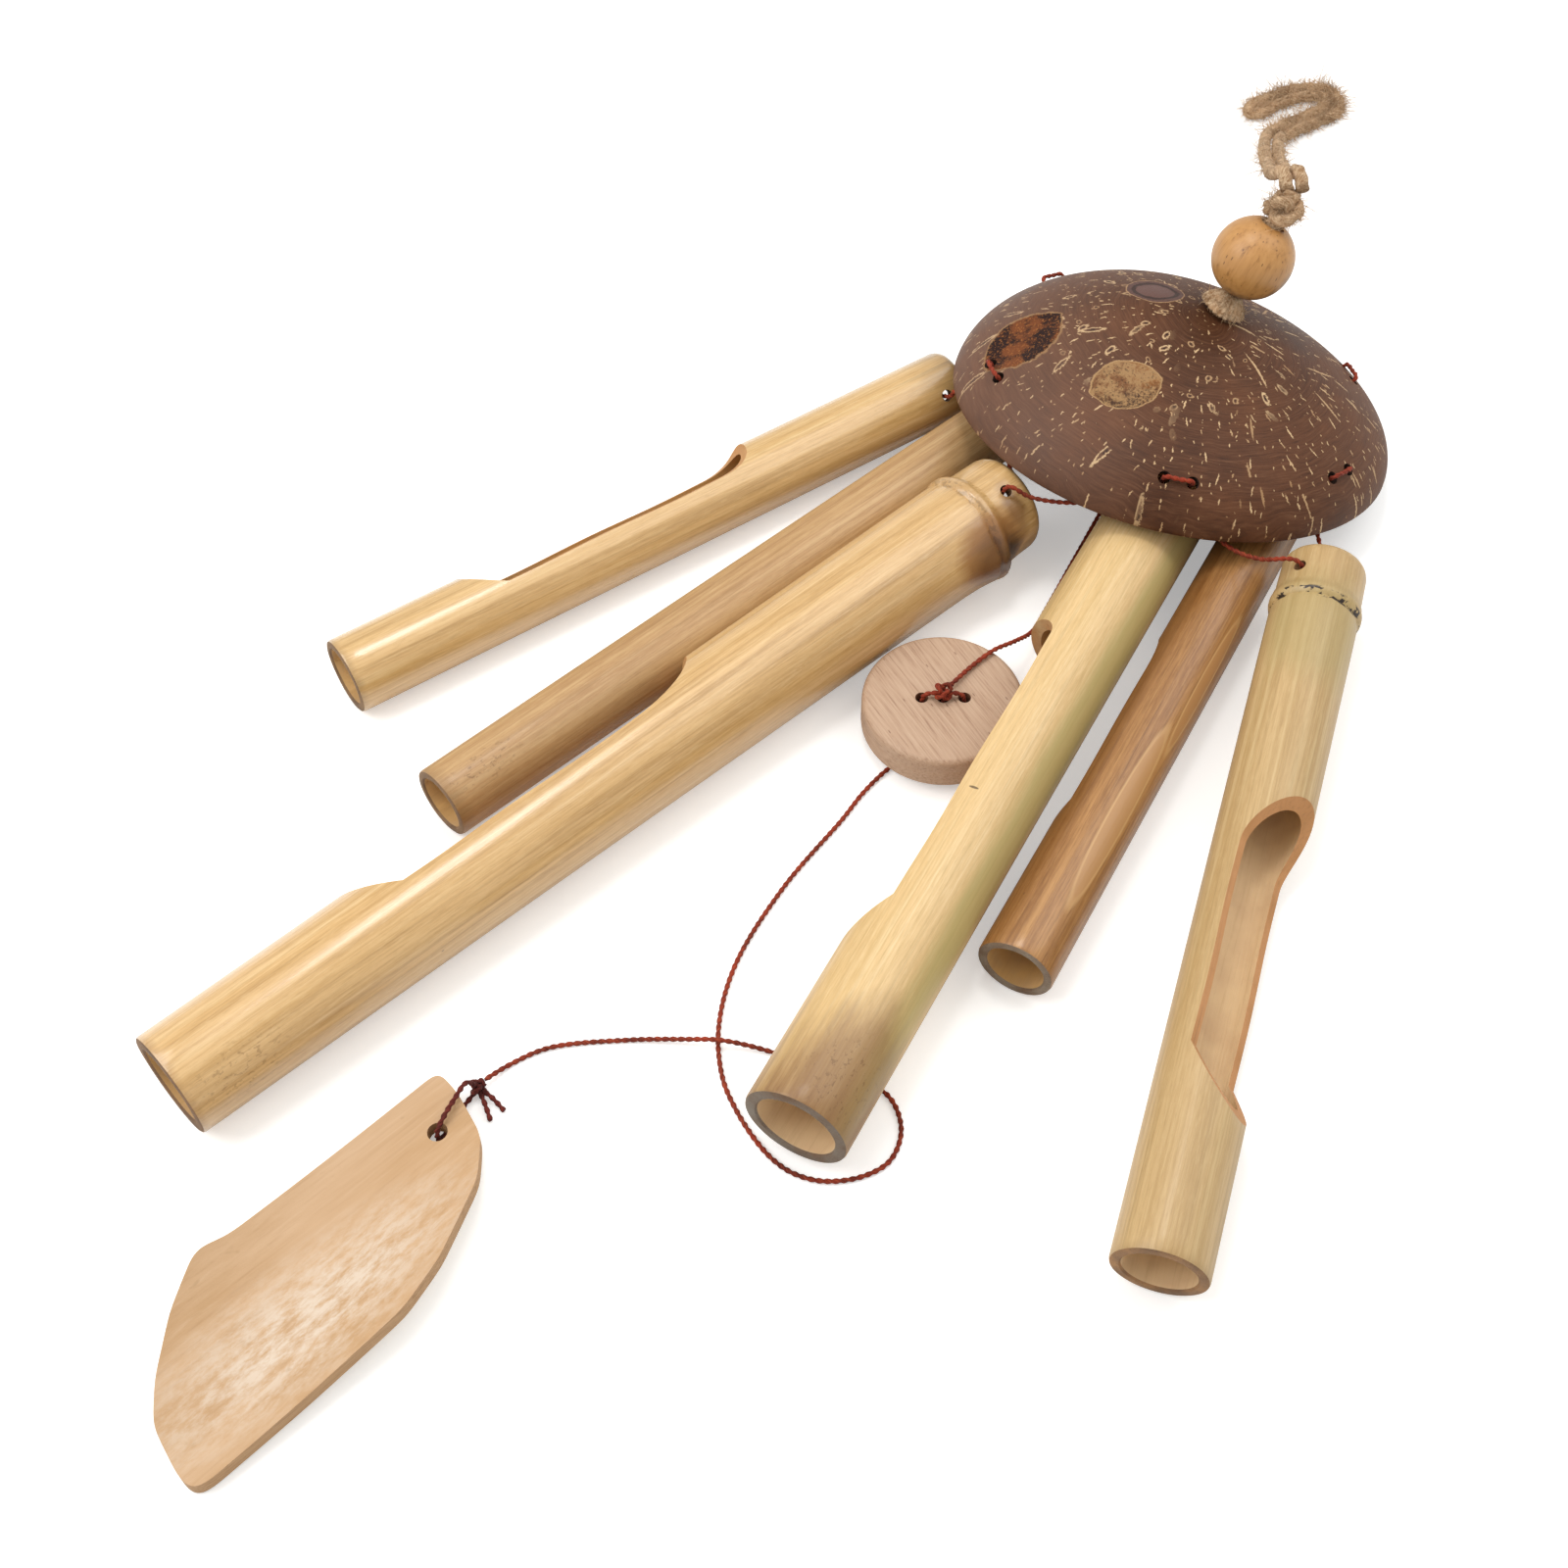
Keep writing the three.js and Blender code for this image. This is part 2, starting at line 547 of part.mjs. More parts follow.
const floorZ = CORD_D / 2 + 0.05;
const onFloor = (p) => V(p[0], p[1], floorZ);
const underDisc = V(DISC_AT.x - 1.1, DISC_AT.y - 1.3, floorZ + 0.1);
const throughDisc = [onDisc(0, DISC_T - 1.5), onDisc(0, 3), onDisc(0, 0.4), underDisc];
const atKnot = (z) => V(SAIL_KNOT_AT[0], SAIL_KNOT_AT[1], z);
const knotReach = SAIL_KNOT_R + GAP;
const sailCordEnd = atKnot(SAIL_KNOT_R).add(V(0.6 * knotReach, 0.8 * knotReach, 0));
const toCrossing = [...throughDisc, ...SAIL_WAY.map(onFloor)];
const sailRun = [...toCrossing, ...CROSSING, ...TO_SAIL.map(onFloor), sailCordEnd];
add("sail_cord", cord(sailRun, CORD_D, 72), RED);

// Sail: the outline cut through a culm's wall, hollow side up, its hole end held off the floor by the cord
const heading = V(Math.cos(SAIL_HEADING * RAD), Math.sin(SAIL_HEADING * RAD), 0);
const sailRight = heading.clone().cross(UP);
const sailFar = SAIL_END - SAIL_LENGTH;
const outline = SAIL_SHARES.map(([a, c]) => {
  const run = sailFar + a * SAIL_LENGTH;
  const off = SAIL_MIDDLE + (c - 0.5) * SAIL_WIDTH;
  return new THREE.Vector2(run * heading.x + off * sailRight.x, run * heading.y + off * sailRight.y);
});
const inner = SAIL_CULM_R - SAIL_T;
const culm = new THREE.LatheGeometry(
  [
    [inner, sailFar - 5], [SAIL_CULM_R, sailFar - 5], [SAIL_CULM_R, SAIL_END + 5], [inner, SAIL_END + 5],
    [inner, sailFar - 5],
  ].map((p) => new THREE.Vector2(p[0], p[1])),
  96,
);
culm.applyMatrix4(new THREE.Matrix4().makeBasis(UP, heading, sailRight.clone().negate()));
culm.translate(sailRight.x * SAIL_MIDDLE, sailRight.y * SAIL_MIDDLE, SAIL_CULM_R);
const through = { depth: SAIL_CULM_R / 2, bevelEnabled: false };
const prism = new THREE.ExtrudeGeometry(new THREE.Shape(outline), through);
prism.translate(0, 0, -1);
const holeAt = V(SAIL_HOLE[0], SAIL_HOLE[1], 0);
const sailGeometry = geometryOf(
  bodyOf(culm).intersect(bodyOf(prism))
    .subtract(drill(holeAt.clone().setZ(-2), holeAt.clone().setZ(SAIL_T * 3), SAIL_HOLE_D, 16)),
);
const sailLift = (x, y) => (SAIL_LIFT * (x * heading.x + y * heading.y - sailFar)) / SAIL_LENGTH;
const slat = sailGeometry.attributes.position;
for (let i = 0; i < slat.count; i++) {
  slat.setZ(i, slat.getZ(i) + sailLift(slat.getX(i), slat.getY(i)));
}
add("bamboo_sail", sailGeometry, { color: 0xe3bf90, roughness: 0.6, metalness: 0 });

// Knot at the sail: a ring of cord through the hole and round the slat's end, a ball and two tails
const over = SAIL_LIFT + SAIL_T + GAP + CORD_D / 2 + 0.4;
const under = floorZ + 0.15;
const ring = [
  atKnot(3), V(-69.4, -85.4, over - 0.6), ...RING_OVER.map((p) => V(p[0], p[1], over)),
  holeAt.clone().setZ(over - 1.4), holeAt.clone().setZ(over / 3),
  ...RING_UNDER.map((p) => V(p[0], p[1], under)),
  atKnot(2),
];
const knotBall = ball(atKnot(0.1), UP, SAIL_KNOT_R, 2 * SAIL_KNOT_R, 12);
let sailKnot = bodyOf(knotBall).add(bodyOf(cord(ring, CORD_D, 24)));
for (const [bend, tip] of TAILS) {
  const tail = [atKnot(1.8), V(bend[0], bend[1], 1.4), V(tip[0], tip[1], floorZ)];
  sailKnot = sailKnot.add(bodyOf(cord(tail, CORD_D, 6)));
}
add("sail_knot", geometryOf(sailKnot), RED);

// The part's origin lies under the middle of its solid pieces, on the floor
const CORDS = /cord|knot|rope|stitch/;
const box = new THREE.Box3();
for (const mesh of meshes.filter((m) => !CORDS.test(m.name))) {
  box.expandByObject(mesh, true);
}
for (const mesh of meshes) {
  mesh.geometry.translate(-(box.min.x + box.max.x) / 2, -(box.min.y + box.max.y) / 2, -box.min.z);
}
export default part;
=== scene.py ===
# %% [markdown]
# # A bamboo wind chime laid out on a table
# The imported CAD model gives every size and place. This lesson dresses it: it loads the frame, puts up a
# camera and a soft studio, and then makes each piece again with the surface the real one has.
# Everything is worked out in millimetres on the layout's own axes, and turned to metres in one place.

# %% Frame
import math

import bmesh
import bpy
import numpy as np
from mathutils import Matrix, Vector


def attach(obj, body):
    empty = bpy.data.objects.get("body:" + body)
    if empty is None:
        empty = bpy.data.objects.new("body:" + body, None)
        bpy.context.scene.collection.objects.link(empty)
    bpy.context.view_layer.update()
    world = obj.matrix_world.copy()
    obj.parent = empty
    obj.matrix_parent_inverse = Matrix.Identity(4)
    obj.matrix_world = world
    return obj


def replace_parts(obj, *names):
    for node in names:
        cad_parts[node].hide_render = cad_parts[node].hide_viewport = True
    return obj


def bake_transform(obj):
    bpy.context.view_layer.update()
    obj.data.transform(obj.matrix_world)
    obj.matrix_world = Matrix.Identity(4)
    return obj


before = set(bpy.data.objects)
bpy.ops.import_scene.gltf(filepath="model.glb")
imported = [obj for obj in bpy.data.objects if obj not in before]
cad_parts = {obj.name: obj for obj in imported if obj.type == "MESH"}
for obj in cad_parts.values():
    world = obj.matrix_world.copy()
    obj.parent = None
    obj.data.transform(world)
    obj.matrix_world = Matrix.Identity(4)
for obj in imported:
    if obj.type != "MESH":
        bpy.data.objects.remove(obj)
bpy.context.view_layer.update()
rng = np.random.default_rng(20)
SHIFT = np.array([-10.635, 4.105, 0.0])
UP = np.array([0.0, 0.0, 1.0])


def metres(points):
    """Layout millimetres to the frame's metres: (point + shift) / 1000."""
    return (np.asarray(points, float) + SHIFT) / 1000


def unit(v):
    """Each vector over its own length."""
    v = np.asarray(v, float)
    return v / np.linalg.norm(v, axis=-1, keepdims=True)


# %% [markdown]
# ## Camera and studio
# The photograph looks down at about 54 degrees on a white table. A 50 mm lens half a metre away gives the
# same spread between the near and the far tubes. The light is one big soft box from the left, a weaker one
# from the right and an even white room, so that colours come out about as they are written.

# %% Camera
CAMERA_AT, CAMERA_LENS, SENSOR_WIDTH = (0, -307.8, 431.5), 50, 36
scene = bpy.context.scene


def aimed(name, data, at):
    """A camera or lamp as an object at a place in layout millimetres, turned to the layout's middle."""
    made = bpy.data.objects.new(name, data)
    scene.collection.objects.link(made)
    made.location = metres(at)
    made.rotation_euler = (Vector(metres((0, 0, 0))) - made.location).to_track_quat("-Z", "Y").to_euler()
    return made


camera = aimed("camera", bpy.data.cameras.new("camera"), CAMERA_AT)
camera.data.lens = CAMERA_LENS
camera.data.sensor_width = SENSOR_WIDTH
scene.camera = camera
scene.view_settings.view_transform = "Standard"
print("camera at", [round(x, 3) for x in camera.location])


# %% Nodes and colours
def colour(text):
    """An sRGB hex value as linear RGBA: c/12.92 below 0.04045, else ((c + 0.055) / 1.055) to the power 2.4."""
    c = np.array([int(text[i:i + 2], 16) for i in (1, 3, 5)]) / 255
    c = np.where(c <= 0.04045, c / 12.92, ((c + 0.055) / 1.055) ** 2.4)
    return (*c.tolist(), 1.0)


def node(tree, kind, inputs=None, **settings):
    """Adds a shader node with its settings, and links or sets each input by name or number. A node given as an
    input stands for its first output in use, and a hex value for its colour."""
    made = tree.nodes.new("ShaderNode" + kind)
    for key, value in settings.items():
        setattr(made, key, value)
    for key, value in (inputs or {}).items():
        if isinstance(value, bpy.types.Node):
            value = next(output for output in value.outputs if output.enabled)
        if isinstance(value, bpy.types.NodeSocket):
            tree.links.new(value, made.inputs[key])
        else:
            made.inputs[key].default_value = colour(value) if isinstance(value, str) else value
    return made


def new_material(name):
    """An empty node material and its tree."""
    material = bpy.data.materials.new(name)
    material.use_nodes = True
    material.node_tree.nodes.clear()
    return material, material.node_tree


print("the table's white:", [round(c, 3) for c in colour("#f4f4f2")])

# %% Studio
FLOOR_HALF = 3000
FLOOR_GLOW, ROOM_LIGHT, ROOM_SEEN = 0.36, 0.6, 1.0
# Name, place, width in mm and watts.
SOFT_BOXES = [
    ("left_soft_box", (-620, -60, 700), 620, 4.5),
    ("right_soft_box", (560, 260, 760), 700, 2.7),
    ("top_soft_box", (-40, 190, 790), 200, 1.5),
]
floor_mesh = bpy.data.meshes.new("table")
corners = np.array([(-1, -1, 0), (1, -1, 0), (1, 1, 0), (-1, 1, 0)], float) * FLOOR_HALF / 1000
floor_mesh.from_pydata(corners.tolist(), [], [(0, 1, 2, 3)])
floor = bpy.data.objects.new("table", floor_mesh)
scene.collection.objects.link(floor)

matt_white, tree = new_material("matt_white_table")
seen = node(tree, "LightPath").outputs["Is Camera Ray"]
glow_share = node(tree, "Math", {0: seen, 1: FLOOR_GLOW}, operation="MULTIPLY")
glow = node(tree, "Emission", {"Color": "#ffffff", "Strength": glow_share})
matt = node(tree, "BsdfDiffuse", {"Color": "#f4f4f2"})
node(tree, "OutputMaterial", {"Surface": node(tree, "AddShader", {0: matt, 1: glow})})
floor_mesh.materials.append(matt_white)

world = bpy.data.worlds.new("white_room")
scene.world = world
world.use_nodes = True
tree = world.node_tree
tree.nodes.clear()
seen = node(tree, "LightPath").outputs["Is Camera Ray"]
level = node(tree, "MapRange", {"Value": seen, "To Min": ROOM_LIGHT, "To Max": ROOM_SEEN})
room = node(tree, "Background", {"Color": "#ffffff", "Strength": level})
node(tree, "OutputWorld", {"Surface": room})

for name, at, size, power in SOFT_BOXES:
    lamp = bpy.data.lights.new(name, "AREA")
    lamp.size = size / 1000
    lamp.energy = power
    aimed(name, lamp, at)
print("studio: floor, room and", len(SOFT_BOXES), "soft boxes")

# %% [markdown]
# ## Steps of a finish
# A finish is built up as a painter would: a ground colour, then one colour over another wherever some pattern
# is strong. The patterns are noise stretched along the grain, dots about the points of random cells, and
# distances from a place. Each is counted in millimetres along the piece's own axes.


# %% Steps of a finish
def placed(tree, at, axes, units=(1, 1, 1)):
    """Object coordinates from a point along three right-handed axes, in units of so many millimetres on each."""
    place = node(tree, "TexCoord").outputs["Object"]
    turn = Matrix(np.stack(axes, 1).tolist()).to_euler()
    scale = tuple(np.array(units) / 1000)
    return node(tree, "Mapping", {"Vector": place, "Location": tuple(metres(at)), "Rotation": tuple(turn),
                                  "Scale": scale}, vector_type="TEXTURE")


def grain(tree, where, scale, detail, roughness=0.65, shift=(0, 0, 0)):
    """Noise from 0 to 1 with so many waves to the millimetre along each axis, moved on by a shift."""
    near = node(tree, "Mapping", {"Vector": where, "Location": shift, "Scale": scale})
    return node(tree, "TexNoise", {"Vector": near, "Scale": 1.0, "Detail": detail, "Roughness": roughness})


def distance(tree, where, middle, half):
    """Distance from a middle in units of the half sizes: |(p - middle) / half|, so 1 on that ellipsoid."""
    off = node(tree, "Mapping", {"Vector": where, "Location": middle, "Scale": half}, vector_type="TEXTURE")
    return node(tree, "VectorMath", {0: off}, operation="LENGTH")


def paint(tree, under, over, value, start, end, most=1.0, within=None):
    """One colour over another by most (value - start) / (end - start), held between 0 and most, times a mask."""
    amount = node(tree, "MapRange", {"Value": value, "From Min": start, "From Max": end, "To Max": most})
    if within:
        amount = node(tree, "Math", {0: amount, 1: within}, operation="MULTIPLY")
    return node(tree, "Mix", {0: amount, 6: under, 7: over}, data_type="RGBA")


def dotted(tree, under, over, where, scale, share, start, end, most):
    """Dots painted about the points of random cells, in a share of the cells."""
    near = node(tree, "Mapping", {"Vector": where, "Scale": scale})
    cell = node(tree, "TexVoronoi", {"Vector": near, "Scale": 1.0})
    few = node(tree, "Math", {0: cell.outputs["Color"], 1: share}, operation="LESS_THAN")
    return paint(tree, under, over, cell, start, end, most, few)


def surface(tree, tint, roughness, height, strength, depth, more=None):
    """The finish itself: its colour, its roughness and a bump of so many millimetres."""
    bump = node(tree, "Bump", {"Height": height, "Strength": strength, "Distance": depth / 1000})
    looks = {"Base Color": tint, "Roughness": roughness, "Normal": bump, **(more or {})}
    skin = node(tree, "BsdfPrincipled", looks)
    node(tree, "OutputMaterial", {"Surface": skin})


print("steps: place, grain, distance, paint, dots, surface")

# %% [markdown]
# ## Tools for surfaces
# A piece here is a grid: rows of points along it and columns round it. The same few helpers turn a grid
# into faces, carry a section along a line, and cut one solid out of another. Points that fall together,
# as at the middle of a turned end, are merged, and the faces are then made to look outwards.

# %% Grid and mesh helpers
SHARP_EDGE, MERGE_REACH, SLIVER = 38, 2e-6, 1e-7
DRILL_SIDES, STRETCH_STEPS = 20, 40


def grid_faces(rows, cols, close_rows=False, close_cols=True):
    """Corner numbers of the quads between neighbouring rows and columns of a grid."""
    i = np.arange(rows if close_rows else rows - 1)[:, None]
    j = np.arange(cols if close_cols else cols - 1)[None, :]
    below, beside = (i + 1) % rows * cols, (j + 1) % cols
    return np.stack([i * cols + j, i * cols + beside, below + beside, below + j], -1).reshape(-1, 4)


def turned(a, one, other):
    """The way at an angle from one way towards another: cos(a) one + sin(a) other."""
    a = np.asarray(a)[..., None]
    return np.cos(a) * one + np.sin(a) * other


def run_of(line):
    """How far along a line each of its points is."""
    return np.concatenate([[0], np.cumsum(np.linalg.norm(np.diff(line, axis=0), axis=1))])


def piece(name, points, faces, materials, index=None, uv=None, sharp=SHARP_EDGE, merge=True):
    """A mesh object at the origin from points in layout millimetres, quads, and a material number per quad."""
    mesh = bpy.data.meshes.new(name)
    points = metres(np.asarray(points, float).reshape(-1, 3))
    faces = np.asarray(faces)
    mesh.vertices.add(len(points))
    mesh.vertices.foreach_set("co", points.astype(np.float32).ravel())
    mesh.loops.add(faces.size)
    mesh.loops.foreach_set("vertex_index", faces.astype(np.int32).ravel())
    mesh.polygons.add(len(faces))
    mesh.polygons.foreach_set("loop_start", np.arange(len(faces), dtype=np.int32) * faces.shape[1])
    for material in materials:
        mesh.materials.append(material)
    if index is not None:
        mesh.polygons.foreach_set("material_index", np.asarray(index, np.int32))
    mesh.update(calc_edges=True)
    if uv is not None:
        layer = mesh.uv_layers.new(name="along")
        layer.data.foreach_set("uv", np.asarray(uv, np.float32)[faces.ravel()].ravel())
    if merge:
        b = bmesh.new()
        b.from_mesh(mesh)
        bmesh.ops.remove_doubles(b, verts=b.verts, dist=MERGE_REACH)
        bmesh.ops.dissolve_degenerate(b, edges=b.edges, dist=SLIVER)
        bmesh.ops.recalc_face_normals(b, faces=b.faces)
        b.to_mesh(mesh)
        b.free()
    mesh.shade_smooth()
    if sharp:
        mesh.set_sharp_from_angle(angle=math.radians(sharp))
    made = bpy.data.objects.new(name, mesh)
    scene.collection.objects.link(made)
    return made


print("grid: a strip of 3 rows and 4 columns has", len(grid_faces(3, 4, close_cols=False)), "quads")


# %% Cutting
def cut(target, tool, operation="DIFFERENCE"):
    """Takes the tool out of the target (or keeps what they share), with the tool's finish on the new faces."""
    change = target.modifiers.new("cut", "BOOLEAN")
    change.operation = operation
    change.object = tool
    change.solver = "EXACT"
    change.material_mode = "TRANSFER"
    bpy.context.view_layer.update()
    done = bpy.data.meshes.new_from_object(target.evaluated_get(bpy.context.evaluated_depsgraph_get()))
    target.modifiers.clear()
    old, target.data = target.data, done
    bpy.data.meshes.remove(old)
    bpy.data.objects.remove(tool)
    target.data.shade_smooth()
    target.data.set_sharp_from_angle(angle=math.radians(SHARP_EDGE))


def drills(name, starts, ends, d, material):
    """Round bars from each start to each end as one solid: rings of radius d/2 square to each way."""
    starts, ends = np.asarray(starts, float), np.asarray(ends, float)
    way = unit(ends - starts)
    side = unit(np.cross(way, np.where(np.abs(way[:, 2:]) > 0.9, [[1.0, 0, 0]], [[0, 0, 1.0]])))
    a = np.arange(DRILL_SIDES) * 2 * np.pi / DRILL_SIDES
    ring = turned(a, side[:, None], np.cross(way, side)[:, None]) * d / 2
    hub = np.stack([starts, starts, ends, ends], 1)[:, :, None]
    points = hub + ring[:, None] * np.array([0, 1, 1, 0])[:, None, None]
    faces = grid_faces(4, DRILL_SIDES)[None] + (np.arange(len(starts)) * 4 * DRILL_SIDES)[:, None, None]
    return piece(name, points, faces.reshape(-1, 4), [material])


# %% Lines and cords
def smooth_line(points, step):
    """Centripetal Catmull-Rom line through the points, at even steps: each stretch is a cubic with end slopes
    from its neighbours, weighted by the square root of the distance between points."""
    p = np.asarray(points, float)
    p = np.concatenate([[2 * p[0] - p[1]], p, [2 * p[-1] - p[-2]]])
    dt = np.linalg.norm(np.diff(p, axis=0), axis=1) ** 0.5
    p0, p1, p2, p3 = p[:-3], p[1:-2], p[2:-1], p[3:]
    d0, d1, d2 = dt[:-2, None], dt[1:-1, None], dt[2:, None]
    s1 = ((p1 - p0) / d0 - (p2 - p0) / (d0 + d1) + (p2 - p1) / d1) * d1
    s2 = ((p2 - p1) / d1 - (p3 - p1) / (d1 + d2) + (p3 - p2) / d2) * d1
    t = np.linspace(0, 1, STRETCH_STEPS, endpoint=False)[None, :, None]
    p1, p2, s1, s2 = (x[:, None] for x in (p1, p2, s1, s2))
    line = p1 + s1 * t + (3 * (p2 - p1) - 2 * s1 - s2) * t**2 + (2 * (p1 - p2) + s1 + s2) * t**3
    line = np.concatenate([line.reshape(-1, 3), p[-2:-1]])
    run = run_of(line)
    even = np.linspace(0, run[-1], max(8, int(run[-1] / step)))
    return np.stack([np.interp(even, run, line[:, k]) for k in range(3)], 1), run[-1]


def carried_frames(line):
    """Tangent, side and over of a line, where the side is carried on from step to step without turning."""
    tangent = unit(np.gradient(line, axis=0))
    side = np.empty_like(line)
    side[0] = unit(np.cross(tangent[0], [0.3, 0.2, 0.93]))
    for i in range(1, len(line)):
        side[i] = unit(side[i - 1] - tangent[i] * (side[i - 1] @ tangent[i]))
    return tangent, side, np.cross(tangent, side)


def ply(line, d, plies, pitch, dip, sides):
    """Points, quads and UV of a twisted cord: the section's radius is d/2 (1 - dip + dip cos(plies a)), where
    the angle a turns once in every pitch along the line. UV runs along the line in mm and round the ply."""
    tangent, side, over = carried_frames(line)
    run = run_of(line)
    a = np.arange(sides + 1)[None] * 2 * np.pi / sides + 0 * run[:, None]
    r = d / 2 * (1 - dip + dip * np.cos(plies * (a - 2 * np.pi * run[:, None] / pitch)))
    points = line[:, None] + r[..., None] * turned(a, side[:, None], over[:, None])
    points = np.concatenate([line[:1, None] + 0 * points[:1], points, line[-1:, None] + 0 * points[:1]])
    along = np.concatenate([run[:1], run, run[-1:]])[:, None] + 0 * a[:1]
    turn = (np.concatenate([a[:1], a, a[-1:]]) - 2 * np.pi * along / pitch) / (2 * np.pi)
    faces = grid_faces(len(points), sides + 1, close_cols=False)
    return points.reshape(-1, 3), faces, np.stack([along, turn], -1).reshape(-1, 2)


def cord_piece(name, parts, finish, merge=True):
    """One smooth piece from several sets of points, quads and UV."""
    starts = np.cumsum([0] + [len(points) for points, _, _ in parts[:-1]])
    faces = np.concatenate([part[1] + start for part, start in zip(parts, starts)])
    points, uv = (np.concatenate([part[k] for part in parts]) for k in (0, 2))
    return piece(name, points, faces, [finish], uv=uv, sharp=None, merge=merge)


print("tools: smooth line, carried frames, ply")

# %% [markdown]
# ## Red cord
# One waxed two-ply cord hangs everything. It is dark red, about 1.3 mm thick, and its twist shows as a rope
# pattern with a turn every few millimetres. A round tube would look like wire, so the section has two lobes
# that turn along the line, and the colour follows the ply through the piece's own UV map.

# %% Red cord finish
CORD_D = 1.3
CORD_PITCH = 3.6
GAP = 0.35


def twisted_fibre(name, base, dark, pale, streaks, roughness, bump, matted=0.0):
    """A fibre cord's finish: fine streaks along the ply from UV, dirt in patches of six millimetres, and matted
    hairs about a millimetre apart across both."""
    material, tree = new_material(name)
    place = node(tree, "TexCoord").outputs["Object"]
    fibre = grain(tree, node(tree, "UVMap", uv_map="along"), (0.35, streaks, 1), 4.0)
    patch = node(tree, "TexNoise", {"Vector": place, "Scale": 160.0, "Detail": 3.0})
    felt = node(tree, "TexNoise", {"Vector": place, "Scale": 900.0, "Detail": 6.0, "Roughness": 0.75,
                                   "Distortion": 1.5})
    tint = paint(tree, dark, base, patch, 0.38, 0.68)
    tint = paint(tree, tint, pale, fibre, 0.45, 0.72)
    tint = paint(tree, tint, pale, felt, 0.5, 0.64, matted)
    tint = paint(tree, tint, dark, felt, 0.46, 0.34, matted)
    rise = node(tree, "Math", {0: felt, 1: matted, 2: fibre}, operation="MULTIPLY_ADD")
    surface(tree, tint, roughness, rise, bump, 0.4,
            {"Sheen Weight": 0.05, "Sheen Roughness": 0.5, "Specular IOR Level": 0.2})
    return material


red_cord = twisted_fibre("waxed_red_cord", "#92301a", "#5a1c11", "#b4502e", 9.0, 0.62, 0.5)
dark_cord = twisted_fibre("waxed_red_cord_handled", "#642018", "#38120e", "#85352a", 9.0, 0.66, 0.5)
jute_fibre = twisted_fibre("jute_twine", "#c29b74", "#86623f", "#e4c8a4", 20.0, 0.9, 1.0, 0.8)
jute_hair = twisted_fibre("jute_loose_fibre", "#d0ab83", "#a07a55", "#ecd5b4", 4.0, 0.9, 0.2)
print("cord finishes made")

# %% [markdown]
# ## Where the cord runs
# The shell has six pairs of holes. Between the two holes of a pair the cord shows as a short stitch, and
# from each hole it runs on inside: into one tube's open top and out of its side hole, up to the next pair.
# The points are those of the CAD model, so each cord lies where its solid is.

# %% Shell form and stitch places
DOME_AT = np.array([103.0, 110.0, 14.8])
DOME_AXIS = unit([0.1625, 0.2056, 0.965])
ACROSS = unit(np.cross([0, 1.0, 0], DOME_AXIS))
BACK = np.cross(DOME_AXIS, ACROSS)
DOME_FRAME = np.stack([ACROSS, BACK, DOME_AXIS])
DOME_R, DOME_H, DOME_WALL, DOME_POWER = 57.5, 31.5, 3.8, 1.43
DOME_LEAN, DOME_OVAL, RIM_ROUND = np.array([-8.0, 5.0]), 0.03, 0.8


def dome_radius(h):
    """R cos(asin(h / H)) to the shape power."""
    return DOME_R * np.clip(1 - (np.minimum(h, DOME_H) / DOME_H) ** 2, 0, None) ** (DOME_POWER / 2)


def settle(p):
    """Leans the round shell by k = (z / H) squared and makes it oval by a few percent."""
    k = (p[..., 2:] / DOME_H) ** 2
    flat = p[..., :2] * [1 + DOME_OVAL, 1 - DOME_OVAL] + DOME_LEAN * k
    return np.concatenate([flat, p[..., 2:]], -1)


def on_dome(azimuth, h):
    """Outside point of the shell at an angle in degrees and a height, its outward way and its sideways way."""
    a = np.radians(azimuth)

    def at(a, h):
        return settle(np.array([dome_radius(h) * math.cos(a), dome_radius(h) * math.sin(a), h]))

    side = at(a + 0.01, h) - at(a - 0.01, h)
    out = np.cross(side, at(a, h + 0.1) - at(a, h - 0.1))
    return at(a, h) @ DOME_FRAME + DOME_AT, unit(out @ DOME_FRAME), unit(side @ DOME_FRAME)


STITCHES = [(191.7, 12.8), (261, 12), (313.5, 11.5), (10, 14.5), (70, 12), (124, 13.5)]
STITCH_SPACING, STITCH_HOLE_D, STITCH_END, STITCH_RISE, STITCH_LEAD = 7.0, 2.8, 1.2, 1.15, 2.0
STITCH_DEEP = DOME_WALL + STITCH_END
stitch_tips, stitch_holes, stitch_runs = [], [], []
for azimuth, h in STITCHES:
    half = math.degrees(STITCH_SPACING / 2 / dome_radius(h))
    pair = [on_dome(azimuth - half, h)[:2], on_dome(azimuth + half, h)[:2]]
    middle, out, side = on_dome(azimuth, h)
    stitch_holes += [(x - o * (STITCH_DEEP + STITCH_LEAD), x + o * STITCH_LEAD) for x, o in pair]
    stitch_tips.append([
        (x - o * (STITCH_DEEP + GAP), x - o * (STITCH_DEEP + GAP + STITCH_LEAD)) for x, o in pair])
    first, last = [
        [x - o * STITCH_DEEP, x - o * DOME_WALL / 2, x + o * 0.5, x + o * STITCH_RISE + inwards * side * 0.6]
        for (x, o), inwards in zip(pair, (1, -1))
    ]
    stitch_runs.append([*first, middle + out * STITCH_RISE, *last[::-1]])
print("stitches:", len(stitch_runs))

